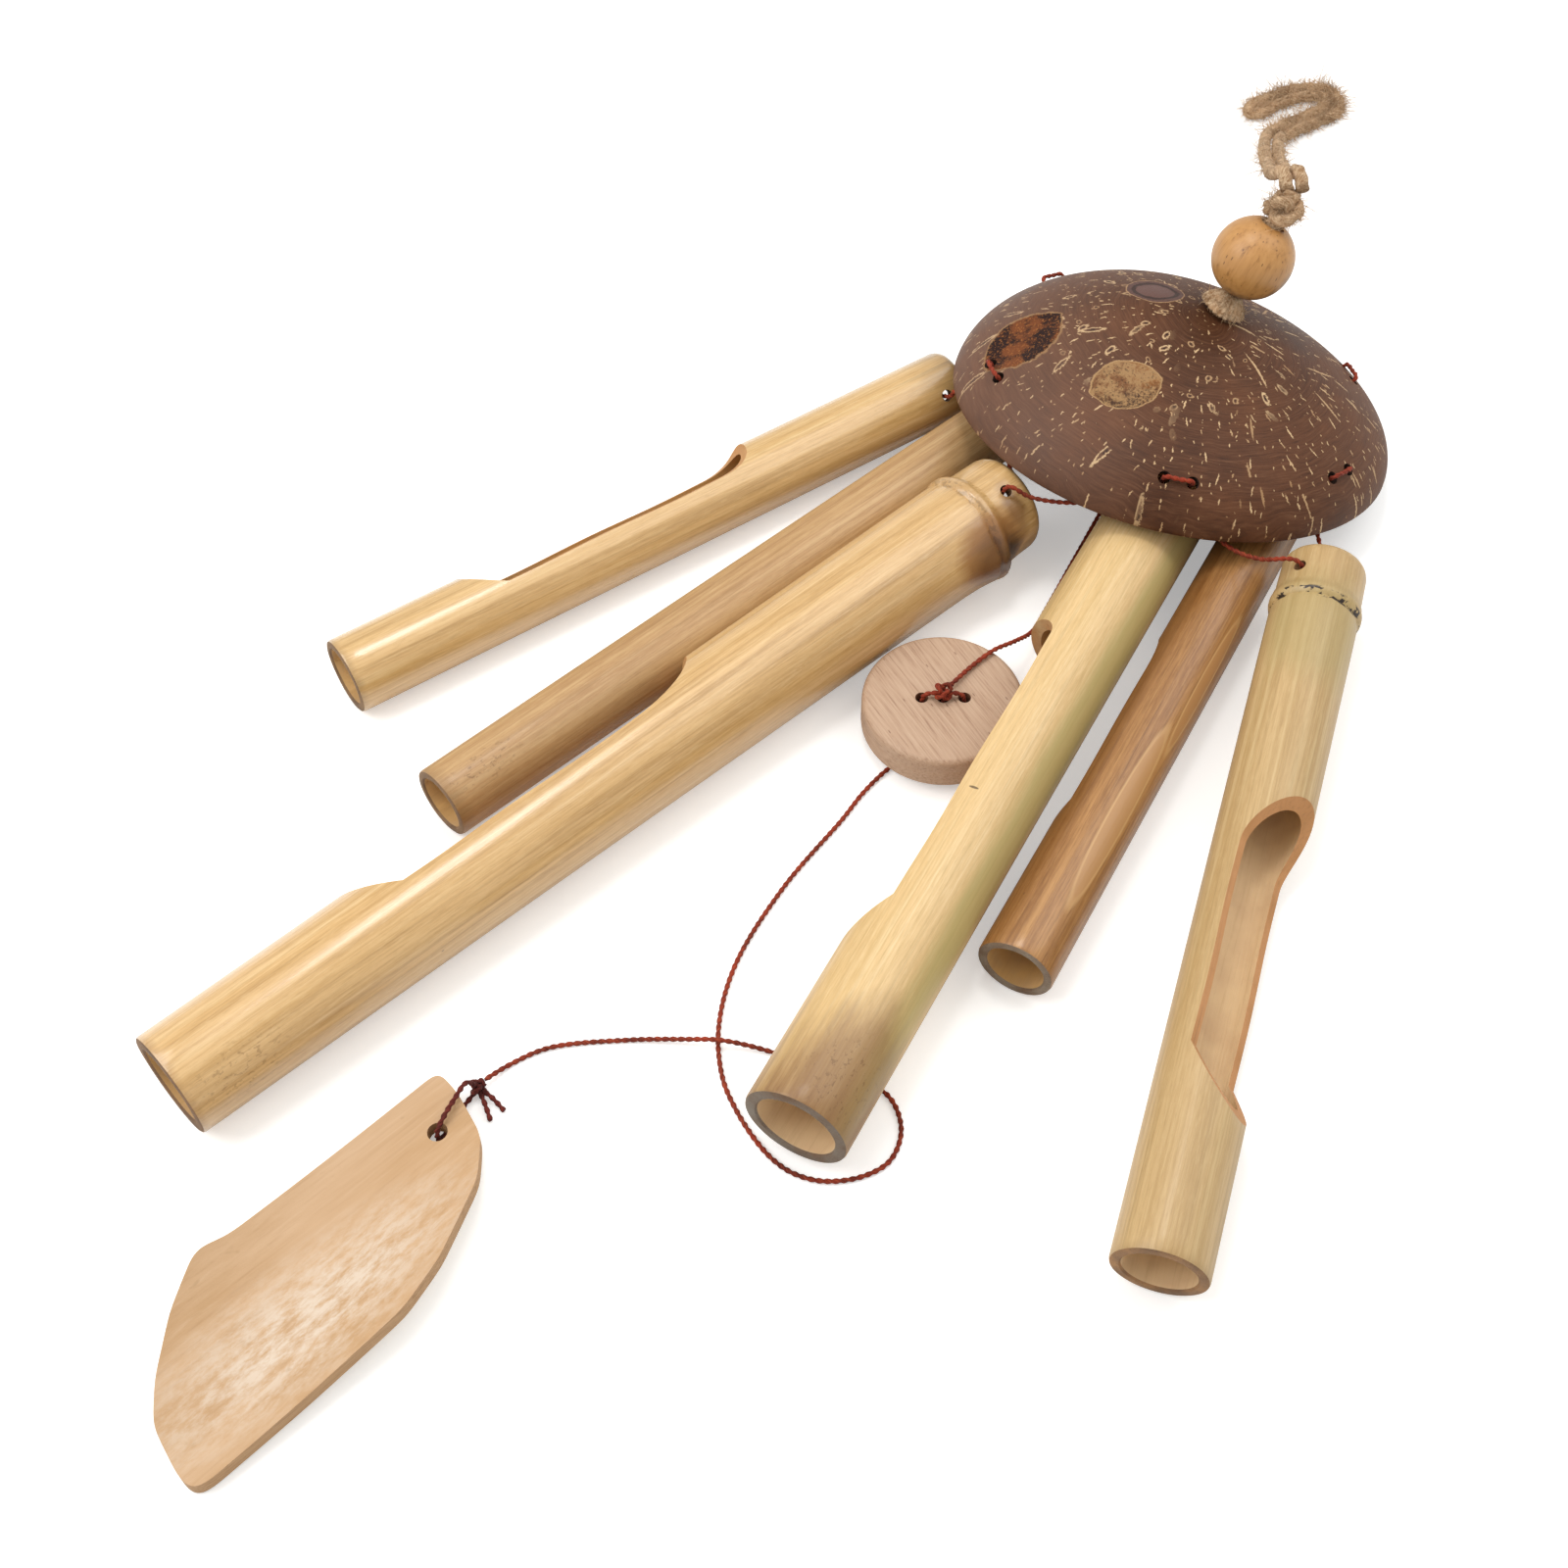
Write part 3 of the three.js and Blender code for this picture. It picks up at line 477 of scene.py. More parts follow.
# %% Tube places
# hole: mm back from the top, and turn in degrees from the tube's upper side. scoop: turn, height kept above the
# tube's middle, start and end along it, and the lengths of its ramp and its arch. collar: radius past the node.
TUBES = [
    dict(top=(45.3, 127.8), heading=33.7, plan=184.6, low_r=9.8, top_r=9.8, wall=2.3, hole=(7, 55), collar=None,
         scoop=dict(turn=-47, keep=4.4, start=36, end=121, ramp=10, arch=11)),
    dict(top=(73, 125.8), heading=41.81, plan=207, low_r=9.1, top_r=9.0, wall=2.2, hole=(8, -60), collar=None,
         scoop=None),
    dict(top=(57.7, 79.5), heading=41.6, plan=253.8, low_r=12.9, top_r=14.5, wall=3.4, hole=(6.5, 22), collar=13.2,
         scoop=dict(turn=-78, keep=4, start=52, end=156, ramp=13, arch=26)),
    dict(top=(107.2, 95.9), heading=61.81, plan=222, low_r=12.6, top_r=12.6, wall=3.0, hole=(8, 60), collar=None,
         scoop=dict(turn=-102, keep=2.7, start=42, end=148, ramp=14, arch=7), low_lift=2),
    dict(top=(130.9, 86.8), heading=61.31, plan=165, low_r=9.4, top_r=9.1, wall=2.3, hole=(8, 55), collar=None,
         scoop=dict(turn=-112, keep=4.6, start=36, end=104, ramp=9, arch=15)),
    dict(top=(135.8, 53.5), heading=72.2, plan=193.4, low_r=10.9, top_r=11.0, wall=2.6, hole=(8, -38), collar=10.6,
         scoop=dict(turn=56, keep=1.2, start=35, end=119, ramp=14, arch=17, lip=0.65), top_lift=6.4),
]
NODE_BACK, NODE_RISE, NODE_HALF, DIAPHRAGM, END_ROUND, HOLE_D, CUT_LIP = 15, 0.6, 2.2, 3, 1.2, 3.2, 0.2
for t in TUBES:
    ring = NODE_RISE if t["collar"] else 0
    a = math.radians(t["heading"])
    low = np.array(t["top"]) - t["plan"] * np.array([math.cos(a), math.sin(a)])
    t["at"] = np.array([*low, t["low_r"] + t.get("low_lift", 0)])
    way = np.array([*t["top"], t["top_r"] + ring + t.get("top_lift", 0)]) - t["at"]
    t["length"] = float(np.linalg.norm(way))
    t["along"] = unit(way)
    t["right"] = unit(np.cross(t["along"], UP))
    t["up"] = np.cross(t["right"], t["along"])
    t["end_r"] = t["collar"] or t["top_r"]
print("tube lengths:", [round(t["length"], 1) for t in TUBES])


def in_tube(t, share, from_top):
    """A point inside a tube, a share of its end radius towards its side hole, and so far down from its top."""
    out = turned(math.radians(t["hole"][1]), t["up"], t["right"])
    return t["at"] + out * t["end_r"] * share + t["along"] * (t["length"] - from_top)


# %% Cord legs
# For each tube: the stitch hole its cord comes from (pair, side), the way from there to the tube's top, the hole
# the cord goes to, and the way there from the hole in the tube's side.
LEGS = [
    ((5, 1), [(63, 142.5, 14), (57, 143, 9.5), (51.5, 134, 9.6)],
     (0, 0), [(45.5, 114.8, 19.4), (47.8, 111.5, 20.6), (52, 108.5, 25)]),
    ((4, 1), [(108, 148, 9.5), (93, 139, 9.5), (80, 131.5, 9.2)],
     (5, 0), [(62.6, 130, 17), (70.5, 136.2, 20.5)]),
    ((0, 1), [(54.5, 96, 26.5), (58.5, 87.5, 19.5), (60.2, 82.5, 15.8)],
     (1, 0), [(62, 69.5, 27), (72, 68.3, 26.2), (82, 68.3, 27.6)]),
    ((4, 0), [(121, 140, 9), (115, 118, 10), (110.4, 102.5, 12)],
     (3, 1), [(120.5, 92.5, 21), (132, 104.5, 18), (142.5, 114.5, 16)]),
    ((3, 0), [(143, 105.5, 13), (136.5, 97, 10)],
     (2, 1), [(138, 77.5, 18)]),
    ((2, 0), [(135.6, 71.6, 17.6), (136.4, 63.5, 15.6), (135.8, 58, 17)],
     (1, 1), [(118, 51.5, 24), (112, 56, 22.6), (106, 61.2, 25)]),
]
CORD_STEP, STITCH_STEP = 0.32, 0.2


def red_ply(line):
    """The two-ply red cord along a line."""
    return ply(line, CORD_D, plies=2, pitch=CORD_PITCH, dip=0.2, sides=10)


def red_piece(name, run, node_name, step=CORD_STEP):
    """A red cord along a run of points in place of its CAD node, and its line."""
    line, length = smooth_line(run, step)
    made = cord_piece(name, [red_ply(line)], red_cord)
    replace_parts(made, node_name)
    print(f"{name}: {length:.0f} mm")
    return made, line


for i, (first, to_top, last, to_side) in enumerate(LEGS):
    t = TUBES[i]
    back = t["hole"][0]
    tip, after = stitch_tips[first[0]][first[1]]
    end_tip, before = stitch_tips[last[0]][last[1]]
    inside = [(-0.2, -2.5), (-0.2, back * 0.45), (0.12, back * 0.9), (0.55, back), (1.18, back)]
    held = np.array([in_tube(t, share, from_top) for share, from_top in inside])
    run = [tip, after, *to_top, *held, *to_side, before, end_tip]
    made, _ = red_piece(f"hanging_cord_{i + 1}", run, f"tube_cord_{i + 1}")
    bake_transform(made)

for i, run in enumerate(stitch_runs):
    made, _ = red_piece(f"shell_stitch_{i + 1}", run, f"stitch_{i + 1}", step=STITCH_STEP)
    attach(made, "dome")

# %% [markdown]
# ## Jute rope, knots and fuzz
# The chime hangs on a doubled jute twine: a knot inside the shell, a frayed collar on top of it, a bead, a
# knot, and a loop that lies folded on the table. Jute is coarse, so the twine has three plies with deep
# grooves, and hundreds of loose fibres stand off it. A knot is drawn as the twine really runs in it.

# %% Rope line
ROPE_D, STEM_D, STEM_HOLE_D, ROPE_PITCH = 3.6, 5.0, 6.4, 13.0
BEAD_R, COLLAR_R, COLLAR_TOP = 10.6, 6.0, 6.6
KNOT_R, KNOT_HIGH, INNER_KNOT_R = 5.4, 7.2, 3.8
ROPE_AXIS = unit([0.4, 0.25, 0.88])
ROPE_HOLE_OFFSET = np.array([12.6, 1.2])
hole_h = DOME_H * math.sqrt(1 - (np.hypot(*ROPE_HOLE_OFFSET) / DOME_R) ** (2 / DOME_POWER))
ROPE_HOLE = settle(np.array([*ROPE_HOLE_OFFSET, hole_h])) @ DOME_FRAME + DOME_AT
STEM_LOW = DOME_WALL + 1.5
BEAD_AT = COLLAR_TOP - 0.15 + math.sqrt(BEAD_R**2 - (STEM_HOLE_D / 2) ** 2)
KNOT_AT = BEAD_AT + BEAD_R * 0.9 + 1.4
ROPE_SIDE = unit(np.cross(ROPE_AXIS, [0, 1.0, 0]))
ROPE_OVER = np.cross(ROPE_AXIS, ROPE_SIDE)


def along_rope(t):
    """The point so many mm above the shell's top on the rope's straight part."""
    return ROPE_HOLE + np.asarray(t, float)[..., None] * ROPE_AXIS


ROPE_TURN = np.array([0.5, 1.5, 3.2])
ROPE_WAY = [
    (127, 143, 68.5), (131, 161.4, 55.5), (136.3, 186.4, 38), (141.9, 210.6, 22), (147, 231, 10.5),
    (151.6, 242.6, 3.6), (160.6, 250, 1.9), (168.2, 254.6, 1.9), (172.2, 260, 1.9), (167, 265.4, 1.9),
    (155.4, 261.8, 1.9), (146.2, 256, 1.9),
]
ROPE_POINTS = 24
knot_low, knot_high = along_rope(KNOT_AT), along_rope(KNOT_AT + KNOT_HIGH)
KNOT_TOP = KNOT_AT + KNOT_HIGH + 2
bend_at = along_rope(KNOT_TOP)
middle_line, _ = smooth_line([bend_at, bend_at + ROPE_TURN, *ROPE_WAY], 1.0)
picked = middle_line[np.linspace(0, len(middle_line) - 1, ROPE_POINTS).round().astype(int)]
way = unit(np.gradient(picked, axis=0))
beside = unit(np.cross(way, UP)) * (ROPE_D + GAP) / 2
loop_end = picked[-1] + way[-1] * (ROPE_D / 2 + GAP)
loop_line, loop_length = smooth_line([*(picked + beside), loop_end, *(picked - beside)[::-1]], 0.6)
print("rope line:", len(loop_line), "points")


# %% Rope pieces
JUTE_STEP, KNOT_TWINE_D, INNER_TWINE_D = 0.5, 3.5, 2.9


def knot_line(low, high, r, wide, axes=(ROPE_SIDE, ROPE_OVER)):
    """The twine's line in an overhand knot: a trefoil, (2 + cos 3t) times (cos 2t, sin 2t) across and sin 3t
    along, squeezed to lie between two points and within a radius."""
    t = np.linspace(0.06, 2 * np.pi - 0.06, 15)
    flat = wide * r * (1 + 0.42 * np.cos(3 * t)) / 1.42
    tall = 0.5 + 0.34 * np.sin(3 * t)
    return low + tall[:, None] * (high - low) + flat[:, None] * turned(2 * t, *axes)


def jute_ply(run, d):
    """Three-ply jute along a run of points, with deep grooves."""
    return ply(smooth_line(run, JUTE_STEP)[0], d, plies=3, pitch=ROPE_PITCH * d / ROPE_D, dip=0.09, sides=18)


loop_ply = ply(loop_line, ROPE_D, plies=3, pitch=ROPE_PITCH, dip=0.07, sides=18)
rope_loop = cord_piece("jute_loop", [loop_ply], jute_fibre)
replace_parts(rope_loop, "rope_loop")
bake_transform(rope_loop)
print(f"jute loop: {loop_length:.0f} mm")

top_run = knot_line(knot_low, knot_high, KNOT_R * 1.05, 0.66)
stem = along_rope(np.linspace(COLLAR_TOP + GAP, KNOT_TOP - 0.6, 6))
top_knot = cord_piece("jute_knot", [jute_ply(top_run, KNOT_TWINE_D), jute_ply(stem, STEM_D - 0.4)], jute_fibre)
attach(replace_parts(top_knot, "rope_knot"), "dome")

INNER_HIGH = -STEM_LOW - GAP
INNER_LOW = INNER_HIGH - 2 * INNER_KNOT_R
inner_run = knot_line(along_rope(INNER_HIGH), along_rope(INNER_LOW), INNER_KNOT_R, 0.6)
inner = cord_piece("jute_inner_knot", [jute_ply(inner_run, INNER_TWINE_D)], jute_fibre)
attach(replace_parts(inner, "inner_knot"), "dome")


# %% Rope collar
NECK_R = 2.4


def collar_surface(rows, cols):
    """A frayed collar: radius from a smooth bell in height t, with 22 strand ridges that lean as they fall,
    r = bell(t) (0.93 + 0.11 |cos(11 a + 3 t)|), from under the bead down on to the shell."""
    t = np.linspace(0, 1, rows)[:, None]
    a = np.linspace(0, 2 * np.pi, cols)[None]
    bell = NECK_R + (COLLAR_R - NECK_R) * (1 - (1 - t) ** 1.7)
    r = bell * (0.93 + 0.11 * np.abs(np.cos(11 * a + 3 * t))) + 0.25 * np.sin(3 * a + 5 * t)
    high = COLLAR_TOP - 0.3 - (COLLAR_TOP - 1.3) * t + 0.35 * np.sin(2 * a + 1)
    points = along_rope(high) + r[..., None] * turned(a, ROPE_SIDE, ROPE_OVER)
    cap, foot = (along_rope(np.full((1, cols), level)) for level in (COLLAR_TOP, 0.9))
    points = np.concatenate([cap, points, foot])
    along = np.concatenate([[0], t[:, 0], [1]])[:, None] * 8 + 0 * a
    uv = np.stack([along, a / 6 + 0 * along], -1)
    return points.reshape(-1, 3), grid_faces(rows + 2, cols, close_cols=False), uv.reshape(-1, 2)


stem = jute_ply(along_rope(np.linspace(-STEM_LOW, 2.5, 5)), STEM_D - 0.2)
collar = cord_piece("jute_collar", [collar_surface(14, 89), stem], jute_fibre)
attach(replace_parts(collar, "rope_collar"), "dome")
print(collar.name, len(collar.data.polygons), "faces")


# %% Loose fibres
HAIR_STEPS, FLAT_Z, FOLD_AT, FOLD_REACH = 5, 5, (171, 261), 7
ROOT_SHARE, NEAR_TABLE, TABLE_CLEAR = 0.93, 0.4, 0.15
SKIRT_HIGH, SKIRT_R = 2.2, 5.0


def hairs(roots, ways, lengths, thick):
    """Fibres as three-sided slivers: point = root + way L u + bow u squared, with a random bow, thinning out."""
    n = len(roots)
    u = np.linspace(0, 1, HAIR_STEPS)[None, :, None]
    bow = rng.normal(0, 0.34, (n, 1, 3)) * lengths[:, None, None]
    line = roots[:, None] + ways[:, None] * lengths[:, None, None] * u + bow * u**2
    tangent = unit(ways)[:, None]
    side = unit(np.cross(tangent, [0.37, 0.61, 0.7]))
    ring = turned(np.arange(3) * 2 * np.pi / 3, side[:, :, None], np.cross(tangent, side)[:, :, None])
    points = line[:, :, None] + ring * thick * (1 - 0.75 * u)[..., None]
    faces = grid_faces(HAIR_STEPS, 3)[None] + (np.arange(n) * HAIR_STEPS * 3)[:, None, None]
    uv = np.broadcast_to((u * 5)[..., None], (n, HAIR_STEPS, 3, 1)) + rng.uniform(0, 9, (n, 1, 1, 2))
    return points.reshape(-1, 3), faces.reshape(-1, 4), uv.reshape(-1, 2)


def fuzz(name, line, r, count, long, body, thick=0.1, slant=1.8):
    """Loose fibres along a line: each leaves the twine's surface at a slant along it, most nearly lying on it."""
    spot = rng.integers(0, len(line) - 1, count)
    tangent, side, over = carried_frames(line)
    out = turned(rng.uniform(0, 2 * np.pi, count), side[spot], over[spot])
    ways = unit(out + rng.normal(0, slant, (count, 1)) * tangent[spot])
    roots = line[spot] + out * r * ROOT_SHARE
    lengths = rng.gamma(2.2, long / 2.2, count)
    lengths = np.where(roots[:, 2] + ways[:, 2] * lengths < NEAR_TABLE, 0.4 * lengths, lengths)
    points, faces, uv = hairs(roots, ways, lengths, thick)
    points[:, 2] = np.maximum(points[:, 2], TABLE_CLEAR)
    made = cord_piece(name, [(points, faces, uv)], jute_hair, merge=False)
    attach(made, body)


far = loop_line[len(loop_line) // 14: -len(loop_line) // 14]
flat = far[far[:, 2] < FLAT_Z]
fold = flat[np.hypot(*(flat[:, :2] - FOLD_AT).T) < FOLD_REACH]
top_line, _ = smooth_line(top_run, JUTE_STEP)
skirt = along_rope(SKIRT_HIGH) + SKIRT_R * turned(np.linspace(0, 2 * np.pi, 60), ROPE_SIDE, ROPE_OVER)
fuzz("jute_loop_fibres", far, ROPE_D / 2, count=900, long=2.4, body="hanging_loop", thick=0.09)
fuzz("jute_flat_fibres", flat, ROPE_D / 2, count=2600, long=3.0, body="hanging_loop", slant=1.2)
fuzz("jute_fold_fibres", fold, ROPE_D / 2, count=260, long=3.2, body="hanging_loop", slant=0.5)
fuzz("jute_knot_fibres", top_line, KNOT_TWINE_D / 2, count=800, long=1.9, body="dome", thick=0.09)
fuzz("jute_collar_fibres", skirt, 0.9, count=220, long=1.7, body="dome", slant=0.9)
print("loose fibres made")

# %% [markdown]
# ## Striker and sail cords
# A cord goes from the inner knot to the striker disc, where it is knotted over three holes, and a longer one
# goes on from the disc to the sail in a wide loop under the fourth tube. Both lie on the table, so their
# lines keep half a cord's thickness above it, and rise in a low hump where the cord crosses itself.

# %% Disc and sail cords
DISC_AT = np.array([38.7, 16.9, 2.5])
DISC_R, DISC_T, DISC_BEVEL, DISC_HOLE_STEP = 19.8, 10.0, 1.6, 5.2
DISC_KNOT_D, DISC_KNOT_H = 5.6, 4.2
LAY_Z = DISC_AT[2] + DISC_T + GAP + CORD_D / 2
FLOOR_Z = CORD_D / 2 + 0.05


def on_disc(x, z, y=0.0):
    """A point on the disc's middle line, across, up and back from its lower face's middle."""
    return DISC_AT + [x, y, z]


knot_edge = DISC_KNOT_D / 2 + GAP
cord_top = INNER_LOW - 1.4 * GAP
striker_run = [
    on_disc(knot_edge * 0.62, LAY_Z + 0.6 - DISC_AT[2], knot_edge * 0.86), (46, 25.8, LAY_Z), (51.6, 30.8, LAY_Z),
    (57.5, 35.8, 11), (62.5, 42.5, 6.5), (67, 53, 2.2), (78, 75, 2), (90, 97, 5), (100, 109, 15),
    along_rope(cord_top - 4), along_rope(cord_top),
]
made, _ = red_piece("striker_line", striker_run, "striker_cord")
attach(made, "striker")

SAIL_KNOT_AT = np.array([-67.4, -83.6, FLOOR_Z])
SAIL_KNOT_R = 2.1
knot_reach = SAIL_KNOT_R + GAP
sail_floor = [
    (35, 12), (29, 7), (24.4, 3), (19, -3.4), (14.1, -10.8), (0, -30.2), (-11.2, -51.6), (-14.7, -68),
    (-13.6, -80.5), (-10.8, -87.8), (-6.4, -95.4), (-2.1, -100.6), (2.1, -103.6), (8.4, -105.4), (16.9, -104.3),
    (23, -100.5), (25.6, -93), (23, -85), (14, -79.6), (-1, -74.6),
]
crossing = [(-8.5, -72.8, 1.7), (-14.8, -72, 2.6), (-21, -71.4, 1.8)]
to_sail = [(-35.1, -71), (-52.6, -73), (-61, -77.2)]
sail_run = [
    on_disc(0, DISC_T - 1.5), on_disc(0, 3), on_disc(0, 0.4), on_disc(-1.1, FLOOR_Z + 0.1 - DISC_AT[2], -1.3),
    *[(x, y, FLOOR_Z) for x, y in sail_floor], *crossing, *[(x, y, FLOOR_Z) for x, y in to_sail],
    SAIL_KNOT_AT + [0.6 * knot_reach, 0.8 * knot_reach, SAIL_KNOT_R - FLOOR_Z],
]
made, sail_line = red_piece("sail_line", sail_run, "sail_cord")
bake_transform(made)
print("sail cord ends at", sail_line[-1].round(1))

# %% Knots of the red cord
X, Y = np.array([1.0, 0, 0]), np.array([0, 1.0, 0])
knot_foot, knot_head = on_disc(0, DISC_T + GAP), on_disc(0, DISC_T + GAP + DISC_KNOT_H)
top = DISC_T + GAP + CORD_D / 2
pull_way = [(0.8, top + 0.9), (2.6, top + 0.8), (4.5, top + 0.1), (5.1, DISC_T - 1.2), (5.2, DISC_T - 4)]
runs = [knot_line(knot_foot, knot_head, DISC_KNOT_D / 2, 0.72, (X, Y))]
runs += [[on_disc(side * x, z) for x, z in pull_way] for side in (-1, 1)]
disc_knot = cord_piece("striker_knot_cord", [red_ply(smooth_line(run, STITCH_STEP)[0]) for run in runs], red_cord)
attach(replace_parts(disc_knot, "striker_knot"), "striker")

SAIL_LIFT, SAIL_T = 2.4, 4.2
over = SAIL_LIFT + SAIL_T + GAP + CORD_D / 2 + 0.4
under = FLOOR_Z + 0.15
SAIL_HOLE = (-74.6, -96.6)
knot_spot = SAIL_KNOT_AT * [1, 1, 0]
sail_ring = [
    knot_spot + UP * 3, (-69.4, -85.4, over - 0.6), (-71.3, -89.4, over), (-73.4, -94, over),
    (*SAIL_HOLE, over - 1.4), (*SAIL_HOLE, over / 3), (-73.4, -93.6, under), (-71, -88.6, under),
    (-69.2, -85.8, under), knot_spot + UP * 2,
]
tails = [[(-64.6, -85.4, 1.4), (-61.4, -88.6, FLOOR_Z)], [(-65.8, -87, 1.4), (-64.2, -91, FLOOR_Z)]]
ball_foot = knot_spot + UP * 0.1
runs = [knot_line(ball_foot, ball_foot + UP * 2 * SAIL_KNOT_R, SAIL_KNOT_R, 0.74, (X, Y)), sail_ring]
runs += [[knot_spot + UP * 1.8, bend, tip] for bend, tip in tails]
sail_knot = cord_piece("sail_knot_cord", [red_ply(smooth_line(run, STITCH_STEP)[0]) for run in runs], dark_cord)
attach(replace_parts(sail_knot, "sail_knot"), "sail")
print("red knots made")

# %% [markdown]
# ## Bamboo tubes
# Each tube is a piece of culm with a node left near its top: a thin floor inside, and on two of them a raised
# ring outside. The maker sawed it to length, drilled a cord hole and scooped a long sound opening out of its
# side. The culm is turned as a grid, and the scoop and the hole are then cut from it as solids, so the sawn
# faces get a finish of their own.


# %% Bamboo skin
def bamboo_skin(name, t, look):
    """Bamboo's waxy outer skin: fine fibres along the culm two thirds of a millimetre apart, shorter ones
    between them, streaks a few millimetres wide, broad pale and dark bands, weather blotches, specks, darkening
    that runs up from the ends in streaks (stains, and painted shade at the first tube's top end near the shell),
    marks and dust of a given place and size, a row of black dashes under a node ring, and a soft gloss."""
    material, tree = new_material(name)
    local = placed(tree, t["at"], (t["up"], t["right"], t["along"]))
    z_of = node(tree, "SeparateXYZ", {0: local}).outputs["Z"]
    seed = look["seed"]

    def from_level(z):
        """How far a point is from a level along the tube."""
        off = node(tree, "Math", {0: z_of, 1: z}, operation="SUBTRACT")
        return node(tree, "Math", {0: off}, operation="ABSOLUTE")

    def from_spot(turn, z, half_round, half_long):
        """Distance from a spot of the skin at a turn round the tube and a level."""
        a = math.radians(turn)
        middle = (math.cos(a) * t["low_r"], math.sin(a) * t["low_r"], z)
        return distance(tree, local, middle, (half_round, half_round, half_long))

    fibre = grain(tree, local, (1.5, 1.5, 0.02), 5.0, 0.7, (seed, 0, 0))
    short = grain(tree, local, (2.4, 2.4, 0.2), 4.0, 0.7, (seed, seed, 0))
    streak = grain(tree, local, (0.55, 0.55, 0.006), 4.0, 0.62, (0, seed, seed))
    band = grain(tree, local, (0.2, 0.2, 0.009), 3.0, 0.55, (0, seed, 0))
    blot = grain(tree, local, (0.16, 0.16, 0.04), 6.0, 0.65, (0, 0, seed))
    tint = look["band"]
    for shade, pattern, start, end, most in [
        ("skin", band, 0.36, 0.64, 1.0),
        ("streak", streak, 0.53, 0.68, look["lines"]), ("pale", streak, 0.46, 0.32, 0.55),
        ("streak", fibre, 0.5, 0.72, look["lines"] * 0.8), ("pale", fibre, 0.48, 0.3, 0.4),
        ("streak", short, 0.52, 0.7, 0.35), ("pale", short, 0.48, 0.32, 0.35),
        ("stain_and_shade", blot, 0.56, 0.78, look["blots"]),
    ]:
        tint = paint(tree, tint, look[shade], pattern, start, end, most)
    tint = dotted(tree, tint, "#573619", local, (0.55, 0.55, 0.3), look["specks"], 0.2, 0.12, 0.75)

    # Darkening that runs in from the ends: stains on most, and painted shade near the shell at the first tube's
    # top end.
    for z, reach, amount in look["ends"]:
        runs = node(tree, "Math", {0: streak, 1: reach * 2.4, 2: from_level(z)}, operation="MULTIPLY_ADD")
        runs = node(tree, "Math", {0: blot, 1: reach * 1.2, 2: runs}, operation="MULTIPLY_ADD")
        tint = paint(tree, tint, look["stain_and_shade"], runs, reach * 2.8, reach * 1.5, amount)

    for *spot, shade, amount, torn in look.get("marks", []):
        ragged = node(tree, "Math", {0: blot, 1: torn, 2: from_spot(*spot)}, operation="MULTIPLY_ADD")
        ragged = node(tree, "Math", {0: fibre, 1: 0.5 * torn, 2: ragged}, operation="MULTIPLY_ADD")
        edge, soft = 1 + 0.75 * torn, 0.3 * torn + 0.05
        tint = paint(tree, tint, shade, ragged, edge + soft, edge - soft, amount)

    for *spot, shade, amount in look.get("dust", []):
        near = node(tree, "MapRange", {"Value": from_spot(*spot), "From Min": 1.0, "From Max": 0.4})
        crumbs = grain(tree, local, (0.9, 0.9, 0.6), 4.0, 0.65, (seed, 0, seed))
        tint = paint(tree, tint, shade, crumbs, 0.57, 0.62, amount, near)

    if t["collar"]:
        off = from_level(t["length"] - NODE_BACK - NODE_HALF + 0.6)
        near = node(tree, "MapRange", {"Value": off, "From Min": 1.5, "From Max": 1.0})
        dashes = grain(tree, local, (0.36, 0.36, 0.6), 3.0, 0.65, (seed, seed, 0))
        tint = paint(tree, tint, "#2b1d14", dashes, 0.52, 0.56, look["ring"], near)

    shine = node(tree, "MapRange", {"Value": blot, "From Min": 0.3, "From Max": 0.7,
                                    "To Min": look["gloss"] - 0.06, "To Max": look["gloss"] + 0.12})
    surface(tree, tint, shine, fibre, 0.22, 0.3, {"Coat Weight": look["wax"], "Coat Roughness": 0.17, "IOR": 1.5})
    return material


# %% Bamboo inside
def bamboo_inside(name, t, shade, deep, pore, lines, scale=(1.2, 1.2, 0.05)):
    """Sawn or bored bamboo: dull, with lines along a bore, or at an even scale the pores of an end face."""
    material, tree = new_material(name)
    local = placed(tree, t["at"], (t["up"], t["right"], t["along"]))
    bundles = grain(tree, local, scale, 4.0, 0.7)
    patch = node(tree, "TexNoise", {"Vector": local, "Scale": 0.12, "Detail": 3.0})
    tint = paint(tree, shade, deep, patch, 0.35, 0.7)
    tint = paint(tree, tint, pore, bundles, 0.52, 0.72, lines)
    surface(tree, tint, 0.72, bundles, 0.4, 0.4)
    return material
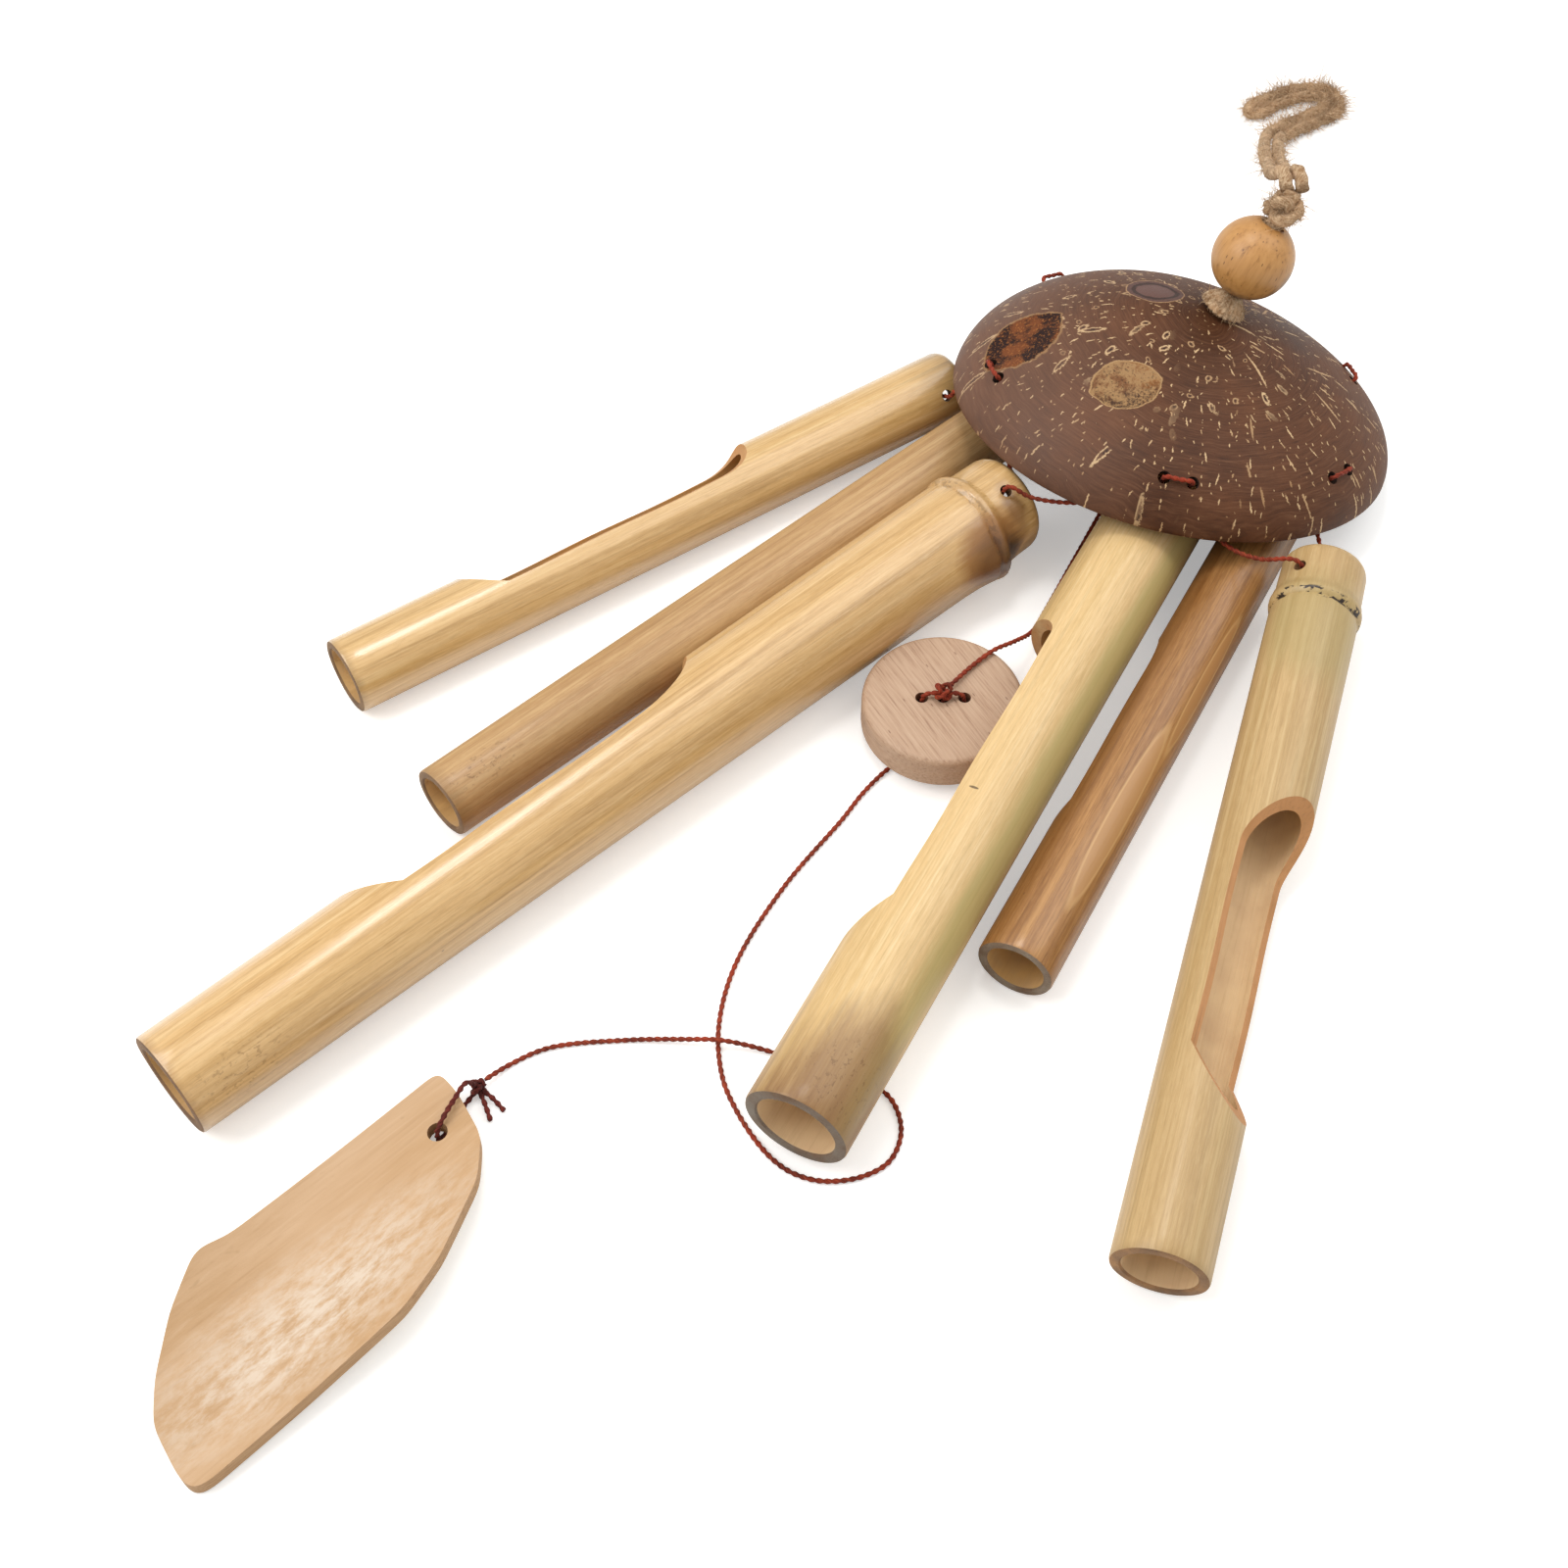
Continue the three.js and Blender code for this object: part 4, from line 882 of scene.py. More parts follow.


# %% Tube looks
# ends: level, reach and amount of a darkening that runs in from an end: real stains on most ends, and painted
# shade near the shell on the first tube's top end. marks: turn, level, half sizes round and along, colour, amount
# and how torn the edge is. dust: the same without the last.
LOOKS = [
    # The first tube's darkening from its top end (level 186) is painted shade near the shell.
    dict(skin="#dab47c", band="#cba264", streak="#a67f47", pale="#e4c690", stain_and_shade="#70522f", lines=0.55, blots=0.18,
         gloss=0.3, wax=0.9, seed=3.1, specks=0.05, ends=[(186, 16, 0.75), (0, 2, 0.5)]),
    dict(skin="#c29c6b", band="#b08758", streak="#8f6a3c", pale="#d0b080", stain_and_shade="#7a5830", lines=0.5, blots=0.16,
         gloss=0.42, wax=0.12, seed=17.4, specks=0.1, ends=[(0, 4, 0.5)], dust=[(20, 12, 5, 14, "#6b4a28", 0.5)]),
    dict(skin="#dbb37a", band="#c79d60", streak="#a57c43", pale="#e5c591", stain_and_shade="#8a5c2e", lines=0.6, blots=0.18,
         gloss=0.33, wax=0.8, seed=29.7, specks=0.05, ring=0.3, ends=[(0, 2, 0.5), (238, 3, 0.4)],
         marks=[(70, 236, 9, 11, "#9a6a3a", 0.9, 0.6), (82, 237, 7, 8, "#6b4423", 0.9, 0.9),
                (86, 241, 4, 4.5, "#38220f", 0.9, 1.1), (45, 247, 7, 2.4, "#7c542e", 0.7, 1.4)],
         dust=[(58, 13, 8, 15, "#85602f", 0.45)]),
    dict(skin="#e0bd86", band="#d3b077", streak="#b0905a", pale="#ead1a2", stain_and_shade="#80592f", lines=0.5, blots=0.12,
         gloss=0.42, wax=0.12, seed=41.2, specks=0.06, ends=[(0, 26, 0.9)],
         marks=[(62, 110, 5, 120, "#b3a366", 0.75, 0.8), (40, 6, 14, 22, "#845c32", 0.6, 0.9),
                (-8, 90, 1.2, 0.35, "#4b3720", 0.8, 0.1)],
         dust=[(30, 10, 12, 14, "#6b4a28", 0.5)]),
    dict(skin="#b07f4b", band="#90602f", streak="#623d1a", pale="#bf9159", stain_and_shade="#734823", lines=0.65, blots=0.5,
         gloss=0.36, wax=0.25, seed=53.8, specks=0.1, ends=[(165, 14, 0.4)],
         marks=[(-42, 90, 3.2, 90, "#744820", 0.6, 1.2),
                (33, 45, 2.7, 29, "#cfa56d", 0.9, 0.1), (33, 45, 2.35, 27.5, "#b58653", 0.95, 0.1),
                (52, 92, 1.9, 24, "#cfa56d", 0.9, 0.1), (52, 92, 1.6, 22.5, "#b28250", 0.95, 0.1)]),
    dict(skin="#c6a573", band="#b99764", streak="#9b7c4b", pale="#d3b887", stain_and_shade="#8f6d40", lines=0.5, blots=0.14,
         gloss=0.42, wax=0.12, seed=67.3, specks=0.04, ring=1.0, ends=[(0, 2, 0.4), (180, 1.6, 0.4)],
         marks=[(10, 168, 14, 16, "#a69661", 0.45, 0.9)]),
]
EDGES = ["#8a6a45", "#8d6e4c", "#8a6540", "#7d7265", "#8f8170", "#a97c4f"]
CUTS = ["#b98850", "#b98a52", "#c59a62", "#c9a878", "#9a6e40", "#c98f5a"]
WARM_BORE, PALE_BORE = ("#d0a668", "#c5a173"), ("#e4c598", "#d6b48a")
BORES = [WARM_BORE, WARM_BORE, WARM_BORE, PALE_BORE, WARM_BORE, PALE_BORE]
print("looks:", len(LOOKS))


# %% Tube forms
SKIN, BORE, END = 0, 1, 2
ROW_STEP, INSIDE_CAD = 4, 0.984


def tube_rows(t):
    """Radius, distance along and finish number of each row of a tube's section: from the node's floor down the
    bore, round the low end, up the skin with its ring, and down into the top cup."""
    length, wall, low, end = t["length"], t["wall"], t["low_r"], t["end_r"]
    level, floor = length - NODE_BACK, DIAPHRAGM / 2
    r = low + (t["top_r"] - low) * level / length
    rows = [(0, level - floor, BORE), (r - wall - 1.5, level - floor, BORE), (r - wall, level - 3, BORE),
            (low - wall, 0.5, END), (low - wall + 0.4, 0, END), (low - 0.7, 0, END), (low - 0.2, 0.25, SKIN),
            (low, 0.8, SKIN)]
    if t["collar"]:
        rows += [(r, level - NODE_HALF - 0.9, SKIN), (r - 0.35, level - NODE_HALF + 0.3, SKIN),
                 (r + NODE_RISE * 0.7, level - 1.1, SKIN), (r + NODE_RISE, level - 0.4, SKIN),
                 (r + NODE_RISE, level + 0.5, SKIN), (r + NODE_RISE * 0.5, level + 1.2, SKIN),
                 (end + 0.6, level + NODE_HALF + 0.2, SKIN), (end + 0.2, level + NODE_HALF + 1.2, SKIN)]
    rows += [(end, length - 2 * END_ROUND, SKIN), (end - 0.25, length - 1.3, SKIN),
             (end - 0.8, length - 0.45, END), (end - 1.5, length, END), (end - wall + 0.3, length, BORE),
             (end - wall, length - 0.4, BORE), (end - wall, level + floor, BORE), (0, level + floor, BORE)]
    rows = np.array(rows, float)
    counts = np.maximum(1, (np.abs(np.diff(rows[:, 1])) / ROW_STEP).astype(int))
    spots = np.concatenate([i + np.arange(n) / n for i, n in enumerate(counts)] + [[len(rows) - 1]])
    radius, along = (np.interp(spots, np.arange(len(rows)), rows[:, k]) for k in (0, 1))
    return radius, along, rows[np.floor(spots).astype(int), 2]


def tube_surface(t, sides, bumps=()):
    """A tube's grid: radius by row, times a slight natural waviness round the culm that stays inside the CAD
    tube, plus bell-shaped bumps."""
    r, z, finish = tube_rows(t)
    a = np.arange(sides)[None] * 2 * np.pi / sides
    phase = rng.uniform(0, 6.3, 3)
    z = z[:, None]
    wave = 0.011 * np.sin(2 * a + phase[0] + z / 90) + 0.006 * np.sin(3 * a + phase[1] - z / 60)
    radius = r[:, None] * (INSIDE_CAD + wave)
    for turn, at, tall, reach in bumps:
        off = (np.angle(np.exp(1j * (a - math.radians(turn)))) * t["top_r"]) ** 2 + (z - at) ** 2
        radius = radius + (finish == SKIN)[:, None] * tall * np.exp(-off / reach**2)
    points = t["at"] + radius[..., None] * turned(a, t["up"], t["right"]) + z[..., None] * t["along"]
    return points, grid_faces(len(r), sides), np.repeat(finish[:-1], sides)


print("tube rows:", [len(tube_rows(t)[0]) for t in TUBES])


# %% Scoops
def scoop_solid(name, t, material):
    """The knife's sweep: its side view is a slanted start, a straight run and a curved steep end, carried across
    the tube, with a hand's small wobble of 0.15 mm in its depth."""
    c = t["scoop"]
    keep, arch, end = c["keep"], c["arch"], c["end"]
    out, flat_from = t["top_r"] + t["low_r"], c["start"] + c["ramp"]
    u = np.linspace(0, 1, 14)
    bend_tall = (1 - u**2) * keep + u**2 * t["top_r"]
    bend_along = (1 - u) ** 2 * (end - arch) + 2 * u * (1 - u) * (end - c.get("lip", CUT_LIP) * arch) + u**2 * end
    run = np.linspace(flat_from, end - arch, 30)[:-1]
    ramp = np.linspace(0, 1, 8)[:-1]
    ramp_from = c["start"] - c["ramp"] * (out - t["low_r"]) / (t["low_r"] - keep)
    tall = np.concatenate([out + (keep - out) * ramp, keep + 0 * run, bend_tall, [out]])
    along = np.concatenate([ramp_from + (flat_from - ramp_from) * ramp, run, bend_along, [end]])
    tall = tall + 0.15 * np.sin(along / 7 + t["low_r"]) * (tall < out - 1)
    a = math.radians(c["turn"])
    across = turned(a, t["right"], -t["up"]) * out
    ring = t["at"] + tall[:, None] * turned(a, t["up"], t["right"]) + along[:, None] * t["along"]
    hub = np.broadcast_to(ring.mean(0), ring.shape)
    points = np.stack([hub - across, ring - across, ring + across, hub + across])
    return piece(name, points, grid_faces(4, len(ring)), [material])


# %% Tubes
TUBE_SIDES = 72
SCARRED, SCAR = 2, [(95, 237, 2.0, 5.5), (95, 238, -1.0, 1.8)]
for i, (t, look) in enumerate(zip(TUBES, LOOKS)):
    skin = bamboo_skin(f"bamboo_skin_{i + 1}", t, look)
    bore = bamboo_inside(f"bamboo_bore_{i + 1}", t, *BORES[i], "#b08a58", 0.3)
    end = bamboo_inside(f"bamboo_end_grain_{i + 1}", t, EDGES[i], "#6b5139", "#49362a", 0.5, (1.7, 1.7, 1.7))
    sawn = bamboo_inside(f"bamboo_scooped_{i + 1}", t, CUTS[i], "#b9824c", "#97693c", 0.5)
    points, faces, finish = tube_surface(t, TUBE_SIDES, SCAR if i == SCARRED else ())
    tube = piece(f"tube_{i + 1}_bamboo", points, faces, [skin, bore, end], finish)
    if t["scoop"]:
        cut(tube, scoop_solid("scoop", t, sawn))
    back, turn = t["hole"]
    aim = turned(math.radians(turn), t["up"], t["right"]) * (t["top_r"] + 3)
    start = t["at"] + t["along"] * (t["length"] - back)
    cut(tube, drills("hole", [start], [start + aim], HOLE_D, end))
    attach(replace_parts(tube, f"bamboo_tube_{i + 1}"), f"tube_{i + 1}")
    print(tube.name, len(tube.data.polygons), "faces")

# %% [markdown]
# ## Bead, disc and sail
# The bead is a turned ball of pale wood with a waxed surface, darker towards its lower side. The disc is sawn
# from a board, with its grain straight across the face. The sail is a slat split from a wide culm, so it is hollow
# on top, and it is cut here as the maker cut it: a wide curved sheet of wall, and an outline that keeps what lies
# inside it.


# %% Wood finish
def plain_wood(name, at, axes, base, dark, pale, width, pore, roughness, wax=0.0, dark_side_way=None):
    """Sanded wood: lines along the grain (the third axis) of a given width in mm, short dark pores in a share of
    places, and, if a way is given, a darker side where the wood faces that way."""
    material, tree = new_material(name)
    local = placed(tree, at, axes)
    line = grain(tree, local, (1 / width, 1 / width, 0.04 / width), 5.0)
    patch = node(tree, "TexNoise", {"Vector": local, "Scale": 0.11, "Detail": 3.0})
    tint = paint(tree, pale, base, line, 0.35, 0.68)
    tint = paint(tree, tint, dark, line, 0.56, 0.75, 0.6)
    tint = dotted(tree, tint, dark, local, (1.6, 1.6, 0.45), pore, 0.3, 0.2, 0.75)
    if dark_side_way:
        side = node(tree, "VectorMath", {0: local, 1: dark_side_way}, operation="DOT_PRODUCT")
        uneven = node(tree, "Math", {0: patch, 1: 14.0, 2: side}, operation="MULTIPLY_ADD")
        tint = paint(tree, tint, dark, uneven, 7.5, 15.0)
    shine = node(tree, "MapRange", {"Value": patch, "From Min": 0.3, "From Max": 0.7,
                                    "To Min": roughness - 0.07, "To Max": roughness + 0.09})
    surface(tree, tint, shine, line, 0.3, 0.3, {"Coat Weight": wax, "Coat Roughness": 0.35})
    return material


def lathe(at, axes, rows, sides):
    """Rows of (radius, height) turned about the third axis from a point."""
    r, high = np.asarray(rows, float).T[..., None, None]
    a = np.arange(sides) * 2 * np.pi / sides
    return at + r * turned(a, axes[0], axes[1]) + high * axes[2]


print("wood finish and lathe ready")


# %% Bead
BEAD_SIDES = 64
bead_axes = (ROPE_SIDE, ROPE_OVER, ROPE_AXIS)
bead_middle = along_rope(BEAD_AT)
# The bead is darker towards its lower, right and back side.
bead_wood = plain_wood("waxed_bead_wood", bead_middle, bead_axes, "#b27e44", "#4f2f14", "#c18e52", 1.3, 0.22, 0.42,
                       wax=0.2, dark_side_way=(-0.6, -0.35, -0.72))
bore = STEM_HOLE_D / 2
mouth = math.acos((bore + 0.5) / BEAD_R)
a = np.linspace(-mouth, mouth, 40)
tall = BEAD_R * math.sin(mouth)
mouths = [(bore + 0.15, tall - 0.05), (bore, tall - 0.5), (bore, 0.5 - tall), (bore + 0.15, 0.05 - tall)]
rows = np.concatenate([np.stack([BEAD_R * np.cos(a), BEAD_R * np.sin(a)], 1), mouths])
points = lathe(bead_middle, bead_axes, rows, BEAD_SIDES)
bead = piece("turned_bead", points, grid_faces(len(rows), BEAD_SIDES, close_rows=True), [bead_wood])
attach(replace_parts(bead, "wood_bead"), "bead")
print(bead.name, len(bead.data.polygons), "faces")

# %% Disc
DISC_SIDES, GROOVE = 96, 0.12
DISC_GRAIN = unit([0.5, -0.86, 0])
disc_axes = (np.cross(UP, DISC_GRAIN), UP, DISC_GRAIN)
disc_wood = plain_wood("sawn_disc_wood", DISC_AT, disc_axes, "#ad8b70", "#7c5942", "#c2a489", 0.45, 0.1, 0.62)
bored = plain_wood("bored_disc_wood", DISC_AT, disc_axes, "#7d5238", "#43291a", "#94684b", 0.8, 0.1, 0.8)
b = DISC_BEVEL
q = np.linspace(0, np.pi / 2, 7)
low = np.stack([DISC_R - b + b * np.sin(q), b - b * np.cos(q)], 1)
high = np.stack([DISC_R - b + b * np.cos(q), DISC_T - b + b * np.sin(q)], 1)
groove = [(DISC_R, 5.2), (DISC_R - GROOVE, 5.7), (DISC_R - GROOVE, 6.0), (DISC_R, 6.5)]
rows = np.concatenate([[(0, 0), (DISC_R * 0.5, 0)], low, groove, high, [(DISC_R * 0.5, DISC_T), (0, DISC_T)]])
points = lathe(DISC_AT, (X, Y, UP), rows, DISC_SIDES)
disc = piece("striker_disc_wood", points, grid_faces(len(rows), DISC_SIDES), [disc_wood])
starts, stops = ([on_disc(k * DISC_HOLE_STEP, z) for k in (-1, 0, 1)] for z in (-1, DISC_T + 1))
cut(disc, drills("holes", starts, stops, HOLE_D, bored))
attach(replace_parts(disc, "striker_disc"), "striker")
print(disc.name, len(disc.data.polygons), "faces")


# %% Sail finish and outline
def split_bamboo(name, axes, pith_at, pith_half):
    """The inside of a split culm: pinkish tan with fine lines along it, a few dark dots, and a torn patch of
    whitish pith about a place, both given in the slat's own millimetres across, up and along."""
    material, tree = new_material(name)
    local = placed(tree, (0, 0, 0), axes)
    line = grain(tree, local, (1.3, 1.3, 0.03), 5.0)
    broad = grain(tree, local, (0.12, 0.12, 0.02), 3.0)
    rough = grain(tree, local, (0.5, 0.5, 0.16), 6.0, 0.72)
    flaw = grain(tree, local, (0.3, 0.3, 0.2), 2.0)
    far = distance(tree, local, pith_at, pith_half)
    pith = node(tree, "MapRange", {"Value": far, "From Min": 1.25, "From Max": 0.35})
    tint = paint(tree, "#bb9468", "#c8a47d", broad, 0.35, 0.65)
    tint = paint(tree, tint, "#a67d50", line, 0.53, 0.75, 0.4)
    tint = paint(tree, tint, "#d2b391", line, 0.45, 0.28, 0.35)
    tint = paint(tree, tint, "#d8c6b1", rough, 0.4, 0.6, 0.9, pith)
    tint = paint(tree, tint, "#b18d66", rough, 0.42, 0.3, 0.6, pith)
    tint = dotted(tree, tint, "#5a4128", local, (0.12, 0.12, 0.09), 0.3, 0.06, 0.04, 0.8)
    tint = paint(tree, tint, "#9d7a4e", flaw, 0.68, 0.76, 0.3)
    surface(tree, tint, 0.5, rough, 0.3, 0.4)
    return material


def rounded(ring, step, reach):
    """A closed outline resampled every step of millimetres, each point the mean of its neighbours under a bell
    exp(-(d / reach)^2 / 2), which rounds its corners."""
    closed = np.concatenate([ring, ring[:1]])
    run = run_of(closed)
    at = np.linspace(0, run[-1], int(run[-1] / step), endpoint=False)
    even = np.stack([np.interp(at, run, closed[:, k]) for k in range(3)], 1)
    bell = np.exp(-((np.minimum(at, run[-1] - at) / reach) ** 2) / 2)
    return np.fft.ifft(np.fft.fft(even, axis=0) * np.fft.fft(bell / bell.sum())[:, None], axis=0).real


# %% Sail
SAIL_R, SAIL_HOLE_D, SAIL_TURN, SAIL_GRAIN = 52.0, 4.5, math.radians(60), math.radians(43)
SAIL_LENGTH, SAIL_WIDTH, SAIL_END, SAIL_MIDDLE = 99.0, 44.8, -108.8, -20.0
# Corners of the sail as shares of its length and width.
SAIL_SHARES = np.array([
    (1, 0.4), (0.976, 0.552), (0.914, 0.785), (0.82, 0.915), (0.626, 1), (0.503, 0.997), (0.25, 0.831),
    (0.021, 0.671), (0, 0.634), (0.01, 0.539), (0.063, 0.309), (0.138, 0.193), (0.261, 0.072), (0.386, 0),
    (0.41, 0.02), (0.45, 0.07),
])
ARC_HALF, SPARE, BELOW, ABOVE = 0.75, 4, 3, 30
heading, grain_way = turned(SAIL_TURN, X, Y), turned(SAIL_GRAIN, X, Y)
sail_right = np.cross(heading, UP)
far_end = SAIL_END - SAIL_LENGTH
along_of = far_end + SAIL_SHARES[:, :1] * SAIL_LENGTH
across_of = SAIL_MIDDLE + (SAIL_SHARES[:, 1:] - 0.5) * SAIL_WIDTH
sail_outline = along_of * heading + across_of * sail_right
sail_axes = (np.cross(UP, grain_way), UP, grain_way)
sail_wood = split_bamboo("split_bamboo_inside", sail_axes, (-35, 0, -164), (13, 30, 44))
sail_skin = plain_wood("bamboo_slat_skin", (0, 0, 0), sail_axes, "#bd9c68", "#957544", "#cfb384", 0.9, 0.03, 0.42,
                       wax=0.2)
sail_edge = plain_wood("split_bamboo_edge", (0, 0, 0), sail_axes, "#aa8158", "#76502f", "#c09a70", 0.5, 0.12, 0.7)
a = np.linspace(-ARC_HALF, ARC_HALF, 90)[:, None, None]
s = np.linspace(far_end - SPARE, SAIL_END + SPARE, 40)[None, :, None]


def culm_wall(r):
    """The culm's wall at a radius: a trough along the heading, its lowest line on the table."""
    lift = SAIL_LIFT * (s - far_end) / (SAIL_END - far_end)
    return sail_right * (SAIL_MIDDLE + r * np.sin(a)) + heading * s + UP * (SAIL_R - r * np.cos(a) + lift)


walls = np.concatenate([culm_wall(SAIL_R), culm_wall(SAIL_R - SAIL_T)[:, ::-1]], 1)
ends = walls[[0, -1]].mean(1, keepdims=True) + 0 * walls[[0, -1]]
points = np.concatenate([ends[:1], walls, ends[1:]])
rows, cols = points.shape[:2]
outer_wall = np.tile(np.arange(cols) < s.size - 1, rows - 1)
sail = piece("sail_slat", points, grid_faces(rows, cols), [sail_wood, sail_skin], outer_wall)
ring = rounded(sail_outline, 0.8, 2.0)
hub = ring.mean(0) + 0 * ring
points = np.stack([hub - UP * BELOW, ring - UP * BELOW, ring + UP * ABOVE, hub + UP * ABOVE])
cut(sail, piece("outline", points, grid_faces(4, len(ring)), [sail_edge]), "INTERSECT")
hole = np.array([*SAIL_HOLE, 0])
cut(sail, drills("hole", [hole - UP * BELOW], [hole + UP * 16], SAIL_HOLE_D, sail_edge))
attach(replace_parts(sail, "bamboo_sail"), "sail")
print(sail.name, len(sail.data.polygons), "faces")

# %% [markdown]
# ## Coconut shell
# The dome is half a coconut shell, ground and sanded outside. It is dark brown with fine sanding lines round it,
# and the shell's fibres show as tan flecks that point away from the top: ringed pores high up, short dashes
# lower down and long streaks on the right. Three eyes remain: a torn dark one, a pale one and a ringed oval.


# %% Shell eyes and flecks
EYES = {
    "torn": dict(at=(184.3, 19.1), off=(1.2, 0.0), turn=114, half=(12.5, 9.0), point=0.55),
    "pale": dict(at=(237.6, 22.6), off=(0.3, 1.1), turn=41.6, half=(9.2, 7.4), point=0.25),
    "ringed": dict(at=(116, 30.6), off=(0.0, 0.0), turn=150, half=(7.6, 7.4), point=0.2),
}
EYE_DEEP = 9.0


def eye_frame(name):
    """Middle, and long, short and outward ways of one of the shell's eyes."""
    eye = EYES[name]
    point, out, side = on_dome(*eye["at"])
    slope = np.cross(out, side)
    a = math.radians(eye["turn"])
    middle = point + eye["off"][0] * side + eye["off"][1] * slope
    return middle, turned(a, side, slope), turned(a, slope, -side), out


def shell_flecks(tree, local, ways, cell, half_long, half_wide, share, seed):
    """Distance (below 1 inside) to the nearest fleck, whether its cell is in the chosen share, and its luck: an
    ellipse about each cell's point, long away from the top, of random length and a little askew."""
    moved = node(tree, "VectorMath", {0: local, 1: (seed, 2 * seed, 0)}, operation="ADD")
    cells = node(tree, "TexVoronoi", {"Vector": moved, "Scale": 1 / cell})
    off = node(tree, "VectorMath", {0: moved, 1: cells.outputs["Position"]}, operation="SUBTRACT")
    choice, luck, slant = node(tree, "SeparateColor", {0: cells.outputs["Color"]}).outputs
    down, beside = (node(tree, "VectorMath", {0: off, 1: way}, operation="DOT_PRODUCT") for way in ways)
    skew = node(tree, "MapRange", {"Value": slant, "To Min": -0.45, "To Max": 0.45})
    askew = node(tree, "Math", {0: skew, 1: down, 2: beside}, operation="MULTIPLY_ADD")
    reach = node(tree, "MapRange", {"Value": luck, "To Min": 0.35 * half_long, "To Max": 1.5 * half_long})
    x = node(tree, "Math", {0: down, 1: reach}, operation="DIVIDE")
    y = node(tree, "Math", {0: askew, 1: half_wide}, operation="DIVIDE")
    far = node(tree, "VectorMath", {0: node(tree, "CombineXYZ", {0: x, 1: y})}, operation="LENGTH")
    return far, node(tree, "Math", {0: choice, 1: share}, operation="LESS_THAN"), luck


def painted_eye(tree, tint, name, shades, rough, coarse, grit):
    """One of the shell's eyes over a colour: a lens with a torn edge, at the distance 1 on its own axes by
    |(x, k + |y| (h - k), z)| / h, where k says how pointed its ends are and h is the length of (1, k)."""
    main, dark, edge, limit, speck = shades
    middle, *ways = eye_frame(name)
    own = placed(tree, middle, ways, (*EYES[name]["half"], EYE_DEEP))
    x, y, z = node(tree, "SeparateXYZ", {0: own}).outputs
    k = EYES[name]["point"]
    h = math.hypot(1, k)
    tall = node(tree, "Math", {0: y}, operation="ABSOLUTE")
    tall = node(tree, "Math", {0: tall, 1: h - k, 2: k}, operation="MULTIPLY_ADD")
    far = node(tree, "VectorMath", {0: node(tree, "CombineXYZ", {0: x, 1: tall, 2: z})}, operation="LENGTH")
    far = node(tree, "Math", {0: far, 1: h}, operation="DIVIDE")
    torn = node(tree, "Math", {0: rough, 1: 0.22, 2: far}, operation="MULTIPLY_ADD")
    fill = paint(tree, main, dark, coarse if name == "torn" else rough, limit - 0.05, limit + 0.06)
    fill = paint(tree, fill, speck, grit, 0.56, 0.63, 0.75)
    if name == "pale":
        rusty = node(tree, "MapRange", {"Value": x, "From Min": 0.1, "From Max": 0.6})
        sooty = node(tree, "MapRange", {"Value": y, "From Min": 0.0, "From Max": -0.6})
        soot = node(tree, "Math", {0: grit, 1: rough}, operation="ADD")
        fill = paint(tree, fill, "#84501f", rough, 0.44, 0.6, 0.8, rusty)
        fill = paint(tree, fill, "#37241a", soot, 0.88, 1.1, 0.9, sooty)
    tint = paint(tree, tint, edge, torn, 1.15, 1.12)
    tint = paint(tree, tint, fill, torn, 1.115, 1.09)
    if name == "ringed":
        inner = node(tree, "MapRange", {"Value": torn, "From Min": 0.98, "From Max": 0.94})
        tint = paint(tree, tint, "#65473f", torn, 0.98, 0.94)
        tint = paint(tree, tint, "#3a241c", torn, 0.8, 0.84, 1.0, inner)
    return tint


print("eyes:", ", ".join(EYES))


